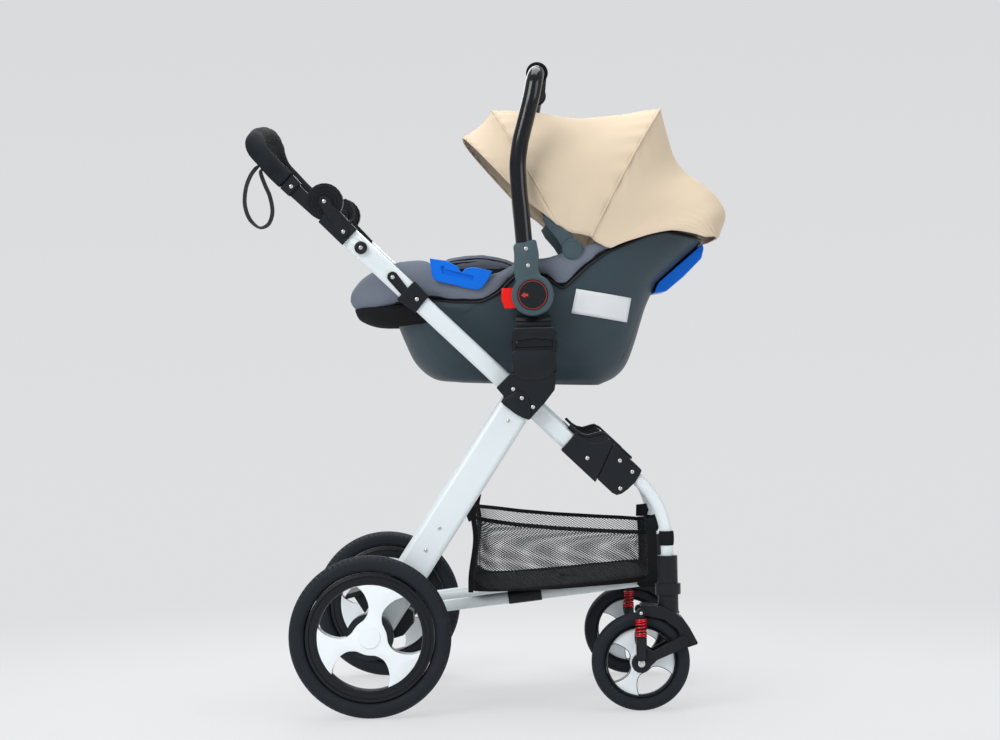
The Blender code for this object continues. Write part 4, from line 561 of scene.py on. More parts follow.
class Form:
    """Collects grids and plates of points into one mesh, with a map in metres along each grid."""

    def __init__(self):
        self.points = []
        self.faces = []
        self.maps = []
        self.count = 0

    def grid(self, grid, wrap=(False, True), caps=True):
        """Quads between neighbouring rows; wrap joins the last row or column to the first."""
        grid = np.asarray(grid, float)
        rows, cols = grid.shape[:2]
        index = np.arange(rows * cols).reshape(rows, cols) + self.count
        shown = grid
        if wrap[0]:
            index = np.vstack([index, index[:1]])
            shown = np.concatenate([shown, shown[:1]], 0)
        if wrap[1]:
            index = np.hstack([index, index[:, :1]])
            shown = np.concatenate([shown, shown[:, :1]], 1)
        spots = np.stack([run_lengths(shown, 0), run_lengths(shown, 1)], -1)
        corners = ((slice(None, -1), slice(None, -1)), (slice(None, -1), slice(1, None)))
        corners += ((slice(1, None), slice(1, None)), (slice(1, None), slice(None, -1)))
        quads = np.stack([index[c] for c in corners], -1).reshape(-1, 4)
        self.points.append(grid.reshape(-1, 3))
        self.faces += quads.tolist()
        self.maps.append(np.stack([spots[c] for c in corners], 2).reshape(-1, 2))
        if caps and not wrap[0]:
            for row in (index[0, :cols][::-1], index[-1, :cols]):
                self.faces.append(row.tolist())
                self.maps.append(np.zeros((cols, 2)))
        self.count += rows * cols
        return self

    def tube(self, path, radius, sides=24, ref=(0.0, 1.0, 0.0)):
        """A round bar along a path; radius may be one number or one for each point."""
        section = circle(1.0, sides) * np.reshape(radius, (-1, 1, 1))
        return self.grid(carried(path, section, ref))

    def lathe(self, profile, centre, steps, closed=True):
        """A profile of (radius, along Y) points turned about the Y axis through centre."""
        profile = np.asarray(profile, float)
        turn = np.arange(steps)[:, None] * 2 * math.pi / steps
        grid = np.empty((steps, len(profile), 3))
        grid[..., 0] = centre[0] + profile[:, 0] * np.cos(turn)
        grid[..., 1] = centre[1] + profile[:, 1]
        grid[..., 2] = centre[2] + profile[:, 0] * np.sin(turn)
        return self.grid(grid, wrap=(True, closed), caps=False)

    def plate(self, outline, low, high, edge=0.0008):
        """A side view outline of (x, z) points between two y, its edges rounded by drawing the end rings in."""
        outline = np.asarray(outline, float)
        ahead = unit(np.roll(outline, -1, 0) - outline)
        behind = unit(outline - np.roll(outline, 1, 0))
        square = unit(ahead + behind)[:, ::-1] * (1, -1)
        area = np.sum(outline[:, 0] * np.roll(outline[:, 1], -1) - np.roll(outline[:, 0], -1) * outline[:, 1])
        square *= np.sign(area)
        rings = []
        for y, drawn in ((low, 1.0), (low + 0.3 * edge, 0.3), (low + edge, 0.0)):
            rings.append((y, drawn))
        rings += [(low + high - y, drawn) for y, drawn in rings[::-1]]
        grid = np.empty((len(rings), len(outline), 3))
        for row, (y, drawn) in zip(grid, rings):
            row[:, 0::2] = outline - square * edge * drawn
            row[:, 1] = y
        return self.grid(grid)

    def plates(self, outline, near, far, edge):
        """The same plate on both sides, between two distances from the middle."""
        for side in (RIGHT, LEFT):
            self.plate(outline, *sorted((side * near, side * far)), edge)
        return self

    def turned(self, profile, place, steps, closed=False):
        """A profile of (radius, distance from the middle) points turned about Y, on both sides."""
        for side in (RIGHT, LEFT):
            self.lathe([(r, side * y) for r, y in profile], (place[0], 0.0, place[1]), steps, closed)
        return self

    def loop(self, line, section, ref=(0.0, 0.0, 1.0)):
        """A section carried round a closed line."""
        ring = carried(np.vstack([line[-1:], line, line[:1]]), section, ref)[1:-1]
        return self.grid(ring, wrap=(True, True), caps=False)

    def mesh(self, name):
        """The collected grids as one mesh, with their map."""
        mesh = bpy.data.meshes.new(name)
        mesh.from_pydata(np.vstack(self.points), [], self.faces)
        mesh.uv_layers.new(name="map").data.foreach_set("uv", np.vstack(self.maps).ravel())
        return mesh

    def build(self, name, body, look="black_moulding", slot="black_plastic", sharp=32.0, outwards=True):
        """One object at the origin that rides on a body, with outward faces and its creases kept."""
        mesh = self.mesh(name)
        work = bmesh.new()
        work.from_mesh(mesh)
        bmesh.ops.remove_doubles(work, verts=work.verts[:], dist=1e-6)
        if outwards:
            bmesh.ops.recalc_face_normals(work, faces=work.faces[:])
            if work.calc_volume(signed=True) < 0:
                bmesh.ops.reverse_faces(work, faces=work.faces[:])
        work.to_mesh(mesh)
        work.free()
        mesh.shade_smooth()
        mesh.set_sharp_from_angle(angle=math.radians(sharp))
        made = linked(name, mesh, finish(look))
        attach(made, body)
        return made


def linked(name, mesh, material):
    """One object at the origin that shows the mesh."""
    made = bpy.data.objects.new(name, mesh)
    bpy.context.scene.collection.objects.link(made)
    mesh.materials.append(material)
    return made


def thicken(piece, thickness, offset=-1.0):
    """Gives a sheet its thickness, inwards from its outer face."""
    wall = piece.modifiers.new("thickness", "SOLIDIFY")
    wall.thickness = thickness
    wall.offset = offset
    return piece


def spots_of(mesh):
    """The mesh's points, one row each."""
    flat = np.empty(len(mesh.vertices) * 3)
    mesh.vertices.foreach_get("co", flat)
    return flat.reshape(-1, 3)


def as_shown(made):
    """A mesh of the piece as its modifiers leave it."""
    graph = bpy.context.evaluated_depsgraph_get()
    return bpy.data.meshes.new_from_object(made.evaluated_get(graph), depsgraph=graph)


def swell(made, voxel, start, cap):
    """Blows a closed cloth form up: it starts drawn in, and no point may go further than the cap."""
    scene = bpy.context.scene
    draw = made.modifiers.new("draw_in", "DISPLACE")
    draw.strength, draw.mid_level = -start, 0.0
    even = made.modifiers.new("voxels", "REMESH")
    even.mode, even.voxel_size, even.use_smooth_shade = "VOXEL", voxel, True
    mesh = as_shown(made)
    made.modifiers.clear()
    made.data = mesh
    before = spots_of(mesh)
    simulated = made.modifiers.new("cloth", "CLOTH")
    settings = simulated.settings
    settings.quality = 6
    settings.use_pressure = True
    settings.uniform_pressure_force = 4.0
    settings.effector_weights.gravity = 0.0
    simulated.collision_settings.use_collision = False
    simulated.point_cache.frame_start, simulated.point_cache.frame_end = 1, SWELL_FRAMES
    for step in range(1, SWELL_FRAMES + 1):
        scene.frame_set(step)
    way = spots_of(as_shown(made)) - before
    far = np.linalg.norm(way, axis=1, keepdims=True)
    made.modifiers.remove(simulated)
    scene.frame_set(1)
    moved = before + way * np.minimum(1, cap / np.maximum(far, 1e-9))
    mesh.vertices.foreach_set("co", moved.ravel())
    mesh.update()
    finer = made.modifiers.new("finer", "SUBSURF")
    finer.levels = finer.render_levels = 1
    return made


def laid_on(line, made):
    """A closed line moved onto the piece: each point goes to the nearest of the piece's, then evened out."""
    spots = spots_of(made.data)
    nearest = np.argmin(((line[:, None] - spots[None]) ** 2).sum(-1), axis=1)
    way = spots[nearest] - line
    return line + np.mean([np.roll(way, step, 0) for step in range(-3, 4)], axis=0)


def mirrored(points, side):
    """Points made for the left, at positive Y, put on the given side."""
    return np.asarray(points, float) * (1.0, side, 1.0)


# Stage


class STROLLER_OT_stage(bpy.types.Operator):
    """Camera, floor, backdrop and soft lamps"""

    bl_idname = "stroller.stage"
    bl_label = "Studio"

    def execute(self, context):
        self.camera(context)
        self.floor()
        self.lamps()
        context.scene.view_settings.view_transform = "Standard"
        return {"FINISHED"}

    def camera(self, context):
        """The view direction from yaw and pitch, then the picture turned by the roll."""
        yaw, pitch, roll = np.radians(EYE_TURN)
        ahead = np.array((-math.sin(yaw) * math.cos(pitch), math.cos(yaw) * math.cos(pitch), math.sin(pitch)))
        right = unit(np.cross(ahead, (0.0, 0.0, 1.0)))
        up = np.cross(right, ahead)
        across = right * math.cos(roll) - up * math.sin(roll)
        above = right * math.sin(roll) + up * math.cos(roll)
        data = bpy.data.cameras.new("camera")
        data.sensor_fit = "HORIZONTAL"
        data.sensor_width = 36.0
        data.lens = FOCAL * data.sensor_width
        eye = bpy.data.objects.new("camera", data)
        turned = Matrix(np.stack([across, above, -ahead], 1).tolist()).to_4x4()
        eye.matrix_world = Matrix.Translation(EYE) @ turned
        context.scene.collection.objects.link(eye)
        context.scene.camera = eye

    def floor(self):
        """A floor that sweeps up into a backdrop: y runs back, then z follows a quarter circle upwards."""
        half, front, back, bend, top = 7.0, -5.5, 3.6, 1.6, 5.0
        turn = np.linspace(0, math.pi / 2, 24)
        y = np.concatenate([np.linspace(front, back, 24)[:-1], back + bend * np.sin(turn), [back + bend]])
        z = np.concatenate([np.zeros(23), bend * (1 - np.cos(turn)), [top]])
        x = np.linspace(-half, half, 30)
        grid = np.stack([np.broadcast_to(x[:, None], (30, len(y))), *np.broadcast_arrays(y, z, x[:, None])[:2]], -1)
        mesh = Form().grid(grid, wrap=(False, False), caps=False).mesh("studio_floor")
        mesh.flip_normals()
        mesh.shade_smooth()
        linked("studio_floor", mesh, self.floor_finish())

    def floor_finish(self):
        """A pale floor round the object that fades into a backdrop colour for the camera, with painted shade that
        darkens the backdrop towards its top.
        """
        shade = Shade("studio_floor")
        x, y, z = shade.parts(shade.where)
        far = 0.76 + 0.24 * ((x * x + (y + 0.2) * (y + 0.2)) ** 0.5).step(0.5, 2.2)
        seen = [
            shade.node("ShaderNodeLightPath", output=name)
            for name in ("Is Camera Ray", "Is Glossy Ray", "Is Transmission Ray")
        ]
        shown = (seen[0] + seen[1] + seen[2]).least(1.0)
        even = tuple(studio().backdrop)
        # Painted shade: the backdrop's colour darkens towards the top, standing in for light falling off up the
        # backdrop.
        top = [part * 0.955 for part in even]
        colour = shade.blend((z / 2.4).step(0.0, 1.0), even, top)
        glow = shade.node("ShaderNodeEmission", None, {"Color": colour, "Strength": 1.0})
        shade.done(Base_Color=tuple(studio().floor), Roughness=0.75, Specular_IOR_Level=0.2)
        surface = Socket(shade, shade.principled.outputs[0])
        mixed = shade.node("ShaderNodeMixShader", None, {0: far * shown, 1: surface, 2: glow})
        shade.tree.links.new(mixed.out, shade.tree.nodes["Material Output"].inputs["Surface"])
        return shade.material

    def lamps(self):
        """Softboxes in front, at the side, overhead and behind, in a pale world."""
        look = Vector((0.0, 0.0, 0.55))
        key = studio().key
        for name, place, size, share in (
            ("key", (-2.6, -3.4, 3.4), 2.6, 1.0),
            ("side", (3.4, -2.6, 2.2), 2.4, 0.28),
            ("overhead", (0.2, 0.6, 3.9), 3.0, 0.75),
            ("back", (-0.5, 3.2, 2.6), 2.4, 0.35),
        ):
            data = bpy.data.lights.new(name, "AREA")
            data.shape = "SQUARE"
            data.size = size
            data.energy = key * share
            lamp = bpy.data.objects.new(name, data)
            lamp.location = place
            lamp.rotation_euler = (look - Vector(place)).to_track_quat("-Z", "Y").to_euler()
            bpy.context.scene.collection.objects.link(lamp)
        world = bpy.data.worlds.new("studio")
        world.use_nodes = True
        sky = world.node_tree.nodes["Background"]
        sky.inputs["Color"].default_value = (0.93, 0.96, 1.0, 1.0)
        sky.inputs["Strength"].default_value = studio().fill
        bpy.context.scene.world = world


# Frame finishes


class STROLLER_OT_frame(bpy.types.Operator):
    """Finishes and rounded edges on the frame's own mouldings and tubes"""

    bl_idname = "stroller.frame"
    bl_label = "Frame finishes"

    def execute(self, context):
        looks = {
            "white_coat": ("white_paint", 0.0),
            "black_plastic": ("black_moulding", 0.0009),
            "gloss_black": ("gloss_tube", 0.0008),
            "slate_plastic": ("slate_moulding", 0.0010),
            "button_red": ("button_red", 0.0010),
            "guide_blue": ("guide_blue", 0.0010),
        }
        for part in frame["record"]["subparts"]:
            if part["material_slot"] in looks:
                look, edge = looks[part["material_slot"]]
                self.dress(NODES[part["node"]], finish(look), edge)
        return {"FINISHED"}

    def dress(self, node, material, edge):
        """Joins the loose triangles, rounds the sharp edges and lets flat faces keep flat shading."""
        node.data.materials.clear()
        node.data.materials.append(material)
        node.data.shade_smooth()
        join = node.modifiers.new("join", "WELD")
        join.merge_threshold = 0.00002
        if edge:
            rounding = node.modifiers.new("edges", "BEVEL")
            rounding.width = edge
            rounding.segments = 2
            rounding.limit_method = "ANGLE"
            rounding.angle_limit = math.radians(38.0)
            rounding.use_clamp_overlap = True
        weighted = node.modifiers.new("shading", "WEIGHTED_NORMAL")
        weighted.keep_sharp = False


# Wheels


def two_sided(half, tail=None):
    """A profile mirrored over the wheel's middle plane; the tail closes it inside."""
    return [(r, -h) for r, h in half] + half[::-1] + ([tail] if tail else [])


def arm_outline(centre, middles, waist, reach, hub, half):
    """The white face of a three-armed wheel, as one closed outline.

    In polar form, each side of an arm runs from the hub between two arms (60 degrees off) in to the waist
    and out to the rim at half degrees.
    """
    side = [(60.0, hub), (44.0, hub * 1.01), (28.0, hub * 1.10), (waist + 1.5, hub * 1.42)]
    side += [(waist, hub * 1.42 + (reach - hub) * 0.22), (waist + (half - waist) * 0.45, reach * 0.84), (half, reach)]
    read = smooth_curve(side, 48)
    rim = np.stack([np.linspace(half, -half, 16)[1:-1], np.full(14, reach)], -1)
    one = np.vstack([read, rim, read[::-1][:-1] * (-1, 1)])
    angle = np.radians(np.concatenate([one[:, 0] + middle for middle in sorted(middles, reverse=True)]))
    radius = np.tile(one[:, 1], len(middles))
    return np.stack([centre[0] + radius * np.cos(angle), centre[1] + radius * np.sin(angle)], -1)


def tyre_form(centre, y, outer, inner, width, pips, depth):
    """A tyre: a turned superellipse section, its tread cut by waves round the wheel.

    The section's radius grows from the bead to the crown; grooves of the given depth lie across the
    crown at every pip, fading out down the shoulders.
    """
    steps, cols = pips * 4, 44
    middle = (outer + inner) / 2
    half_r, half_y = (outer - inner) / 2, width / 2
    turn = np.linspace(0, 2 * math.pi, steps, endpoint=False)[:, None]
    ring = np.linspace(0, 2 * math.pi, cols, endpoint=False)[None, :]
    c, s = np.cos(ring), np.sin(ring)
    r = middle + half_r * np.sign(c) * np.abs(c) ** 0.80
    across = half_y * np.sign(s) * np.abs(s) ** 0.78
    crown = np.clip((c - 0.30) / 0.5, 0, 1) ** 1.2
    stagger = np.where(s > 0, 0.0, math.pi / pips)
    wave = np.sin(pips * (turn + stagger) + 3.5 * np.abs(s)) > 0.35
    ribs = np.abs(s) < 0.16
    groove = depth * crown * (wave | (np.abs(np.abs(s) - 0.24) < 0.06)) * ~ribs
    lines = 0.0005 * (np.abs(c + 0.42) < 0.10)
    r = r - groove
    across = np.broadcast_to(y + across + np.sign(s) * lines, r.shape)
    grid = np.stack([centre[0] + r * np.cos(turn), across, centre[1] + r * np.sin(turn)], -1)
    return Form().grid(grid, wrap=(True, True), caps=False)


class STROLLER_OT_wheels(bpy.types.Operator):
    """Tyres, black wheel bodies and white three-armed faces"""

    bl_idname = "stroller.wheels"
    bl_label = "Wheels"

    def execute(self, context):
        depth = chassis().tread_depth
        for side, word in SIDES:
            self.rear(side, word, depth)
            self.front(side, word, depth)
        return {"FINISHED"}

    def rear(self, side, word, depth):
        body, y = "rear_wheel_" + word, side * REAR_Y
        centre = (REAR_AXLE[0], y, REAR_AXLE[1])
        tyre = tyre_form(REAR_AXLE, y, 0.1425, 0.1135, 0.042, 90, depth)
        tyre = tyre.build("tyre_rear_" + word, body, "tyre_rubber", "tyre_rubber", 25.0)
        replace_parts(tyre, "rear_tyre_" + word)
        half = [(0.0925, 0.013), (0.0940, 0.0155), (0.0975, 0.0157), (0.0982, 0.0142), (0.1065, 0.0136)]
        half += [(0.1075, 0.0165), (0.1128, 0.0150)]
        core = Form().lathe(two_sided(half, (0.0915, 0.0)), centre, 120)
        core.lathe(two_sided([(0.0075, 0.0150), (0.0400, 0.0150), (0.0415, 0.0135)]), centre, 64)
        middles = (75.8, 195.6, 316.4)
        ribs = arm_outline(REAR_AXLE, middles, 12.0, 0.0935, 0.031, 20.0)
        core.plate(ribs, y - 0.0085, y + 0.0085, 0.0006)
        core = core.build("wheel_body_rear_" + word, body)
        face = arm_outline(REAR_AXLE, middles, 15.0, 0.0922, 0.0305, 27.0)
        arms = Form()
        for way in (RIGHT, LEFT):
            near, far = sorted((y + way * 0.0090, y + way * 0.0158))
            arms.plate(face, near, far, 0.0006)
        cap = [(0.0, 0.0182), (0.018, 0.0178), (0.0200, 0.0156), (0.0200, -0.0156), (0.018, -0.0166), (0.0, -0.0168)]
        arms.lathe([(r, side * h) for r, h in cap], centre, 48, closed=False)
        arms = arms.build("wheel_arms_rear_" + word, body, "wheel_white", "wheel_white")
        for piece in (core, arms):
            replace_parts(piece, "rear_wheel_" + word)

    def front(self, side, word, depth):
        body, y = "front_wheel_" + word, side * CASTER[1]
        centre = (FRONT_AXLE[0], y, FRONT_AXLE[1])
        tyre = tyre_form(FRONT_AXLE, y, 0.0865, 0.0618, 0.036, 72, depth * 0.45)
        tyre = tyre.build("tyre_front_" + word, body, "tyre_rubber", "tyre_rubber", 25.0)
        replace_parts(tyre, "front_tyre_" + word)
        rim = two_sided([(0.0592, 0.0115), (0.0602, 0.0130), (0.0616, 0.0130)], (0.0582, 0.0))
        core = Form().lathe(rim, centre, 96).build("wheel_body_front_" + word, body)
        face = arm_outline(FRONT_AXLE, (121.3, 241.3, 1.3), 17.0, 0.0594, 0.0195, 24.3)
        arms = Form().plate(face, y - 0.0085, y + 0.0085, 0.0005)
        arms.lathe(two_sided([(0.0046, 0.0125), (0.0182, 0.0125), (0.0192, 0.0115)]), centre, 48)
        arms = arms.build("wheel_arms_front_" + word, body, "wheel_white", "wheel_white")
        for piece in (core, arms):
            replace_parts(piece, "front_wheel_" + word)
        seams = Form()
        for way in (RIGHT, LEFT):
            path = np.stack([face[:, 0], np.full(len(face), y + way * 0.0084), face[:, 1]], -1)
            seams.grid(carried(path, circle(0.0006, 6), (0.0, 1.0, 0.0)), wrap=(True, True), caps=False)
        seams.build("wheel_seams_front_" + word, body)


# Tubes, foam, springs and cords


class STROLLER_OT_tubes(bpy.types.Operator):
    """Round tubes, the foam grip, the springs, the cable and the wrist strap"""

    bl_idname = "stroller.tubes"
    bl_label = "Tubes, foam and springs"

    def execute(self, context):
        self.foam_grip()
        self.front_legs()
        self.springs()
        self.cable()
        self.wrist_loop()
        return {"FINISHED"}

    def foam_grip(self):
        """Foam along the handle's run: a round section with a rolled lip at each end."""
        run = [
            (-0.3555, 0.0, 0.9468), (-0.3630, 0.0, 0.9540), (-0.3780, 0.0, 0.9695), (-0.3905, 0.0, 0.9840),
            (-0.4030, 0.0015, 0.9985), (-0.4085, 0.0070, 1.0070), (-0.4117, 0.0180, 1.0150),
            (-0.4125, 0.0340, 1.0210), (-0.4109, 0.0800, 1.0315), (-0.4090, 0.1540, 1.0395),
        ]
        half = [(x, TUBE_Y - inwards, z) for x, inwards, z in run]
        whole = np.vstack([mirrored(half, RIGHT), [(-0.4080, 0.0, 1.0420)], half[::-1]])
        path = smooth_curve(whole, 200)
        reach = run_lengths(path[:, None], 0)[:, 0]
        ends = np.minimum(reach, reach[-1] - reach)
        radius = 0.0175 - 0.0035 * np.exp(-ends / 0.0012) + 0.0004 * np.sin(reach * 90.0) * np.minimum(ends / 0.05, 1)
        grip = Form().tube(path, radius, 32, (0.697, 0.0, 0.717))
        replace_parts(grip.build("foam_grip", "handle", "grip_foam", "grip_foam"), "handle_foam")

    def front_legs(self):
        """Bent tubes from the knee housings to the casters."""
        for side, word in SIDES:
            drop = CASTER[1] - TUBE_Y
            points = [(x, TUBE_Y, z) for x, z in (on_tube(along, 0.0345) for along in (0.205, 0.236))]
            for x, z, share in (
                (-0.0475, 0.4045, 0.06), (-0.0300, 0.3850, 0.22), (-0.0165, 0.3640, 0.42), (-0.0070, 0.3400, 0.65),
                (-0.0015, 0.3140, 0.87), (0.0, 0.2880, 0.99), (0.0, 0.2620, 1.0), (0.0, 0.2380, 1.0),
            ):
                points.append((CASTER[0] + x, TUBE_Y + drop * share, z))
            leg = Form().tube(smooth_curve(mirrored(points, side), 60), 0.0110, 28)
            leg = leg.build("leg_tube_" + word, "front_frame", "white_paint", "white_coat", 60.0)
            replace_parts(leg, "front_leg_" + word)

    def springs(self):
        """Each coil is a helix round the strut, with its end turns closed up."""
        low, high, turns = 0.1334, 0.1640, 7.0
        t = np.linspace(0, 1, 260)
        turn = 2 * math.pi * turns * t
        rise = low + (high - low) * (t - 0.06 * np.sin(2 * math.pi * t))
        for side, word in SIDES:
            for which, way in (("outer_", side), ("inner_", -side)):
                y = side * CASTER[1] + way * STRUT_OUT
                path = np.stack([STRUT_X + COIL * np.cos(turn), y + COIL * np.sin(turn), rise], -1)
                coil = Form().grid(carried(path, circle(0.00150, 10), (0.0, 0.0, 1.0)))
                coil = coil.build("spring_" + which + word, "caster_" + word, "spring_red", "spring_red")
                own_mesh(coil)
                if which == "outer_":
                    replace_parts(coil, "suspension_spring_" + word)
                guide = Form().tube([(STRUT_X, y, z) for z in (0.131, 0.150, 0.170)], 0.0060, 24)
                guide.build("strut_" + which + word, "caster_" + word)

    def cable(self):
        """The short release cable's arch behind the right ratchet disc."""
        y = -(TUBE_Y - 0.0040)
        places = [(-0.2540, 0.9118), (-0.2446, 0.9063), (-0.2386, 0.8958), (-0.2371, 0.8848), (-0.2386, 0.8758)]
        places.append((-0.2470, 0.8685))
        cable = Form().tube(smooth_curve([(x, y, z) for x, z in places], 48), 0.0023, 14)
        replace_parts(cable.build("cable_arch", "frame", "cable_sheath", "cable_sheath"), "release_cable")

    def wrist_loop(self):
        """A flat webbing loop: a rounded section along the loop's closed run."""
        y = -0.2215
        loop = [
            (-0.4045, 0.9745), (-0.4120, 0.9675), (-0.4204, 0.9556), (-0.4282, 0.9351), (-0.4309, 0.9086),
            (-0.4249, 0.8848), (-0.4134, 0.8698), (-0.4017, 0.8646), (-0.3882, 0.8722), (-0.3818, 0.8928),
            (-0.3857, 0.9194), (-0.3941, 0.9403), (-0.4010, 0.9611), (-0.3985, 0.9700),
        ]
        path = smooth_curve([(x, y, z) for x, z in loop], 170)
        share = np.linspace(0, 1, len(path))
        path[:, 1] += 0.0012 * np.sin(2 * math.pi * share)
        ends = np.exp(-((np.minimum(share, 1 - share) / 0.06) ** 2))
        twist = np.radians(62) * ends + np.radians(55) * np.exp(-(((share - 0.5) / 0.10) ** 2))
        flat = flat_oval(0.0037, 0.0007, 20, 5.0)
        c, s = np.cos(twist)[:, None], np.sin(twist)[:, None]
        section = np.stack([flat[:, 0] * c - flat[:, 1] * s, flat[:, 0] * s + flat[:, 1] * c], -1)
        strap = Form().grid(carried(path, section, (0.0, 1.0, 0.0)))
        strap = strap.build("wrist_loop", "handle", "strap_webbing", "webbing")
        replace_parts(strap, "wrist_strap")
        length = float(run_lengths(path[:, None], 0)[-1, 0])
        tuple(path[0])
        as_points(path[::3])


# Carrier


RIM_X = (-0.186, -0.107, -0.071, -0.016, 0.017, 0.046, 0.100, 0.130, 0.176, 0.213, 0.285, 0.317, 0.392)
RIM_Z = (0.724, 0.733, 0.727, 0.725, 0.741, 0.771, 0.766, 0.744, 0.785, 0.810, 0.838, 0.844, 0.829)


def rim_height(x):
    """The rim's height: the stations' heights joined by straight lines, averaged over a short stretch."""
    spread = np.linspace(-0.007, 0.007, 9)
    return np.mean([np.interp(x + step, RIM_X, RIM_Z) for step in spread], axis=0)


def tub_turn(count, power=3.2):
    """Unit points round a superellipse, spaced evenly along it."""
    fine = np.linspace(0, 2 * math.pi, 2001)
    c, s = np.cos(fine), np.sin(fine)
    shape = 2 / power
    a, b = np.sign(c) * np.abs(c) ** shape, np.sign(s) * np.abs(s) ** shape
    run = np.concatenate([[0], np.cumsum(np.hypot(np.diff(a), np.diff(b)))])
    even = np.linspace(0, run[-1], count, endpoint=False)
    return np.interp(even, run, a), np.interp(even, run, b)


SHELL_ROWS = (
    (-0.062, 0.196, 0.095, 0.581, 0.571),
    (-0.108, 0.226, 0.125, 0.588, 0.585),
    (-0.141, 0.247, 0.152, 0.616, 0.608),
    (-0.161, 0.264, 0.176, 0.657, 0.650),
    (-0.176, 0.284, 0.194, 0.697, 0.712),
    (-0.183, 0.306, 0.200, 0.714, 0.757),
)


def shell_grid(rows, cols, inset=0.0):
    """The tub: a superellipse in plan whose reach, width and height follow the rows smoothly, then the rim."""
    table = smooth_curve(SHELL_ROWS, rows)
    a, b = tub_turn(cols)
    rear, front, wide, rear_z, front_z = (table[:, i : i + 1] for i in range(5))
    rear, front, wide = rear + inset, front - inset, wide - inset
    x = (rear + front) / 2 + a * (front - rear) / 2
    lift = inset * np.linspace(1, 0, rows)[:, None]
    z = rear_z + (front_z - rear_z) * (x - rear) / (front - rear) + lift
    grid = np.stack([x, b * wide, z], -1)
    top_x = 0.103 + a * (0.289 - inset)
    top = np.stack([top_x, b * (SHELL_WIDE - inset), rim_height(top_x)], -1)
    start = grid[-1]
    grid[..., 2] = np.minimum(grid[..., 2], top[:, 2] - 0.010 - 0.02 * np.linspace(1, 0, rows)[:, None] ** 0.5)
    share = np.linspace(0, 1, 9)[1:, None, None]
    return np.concatenate([grid, start + (top - start) * share], 0)


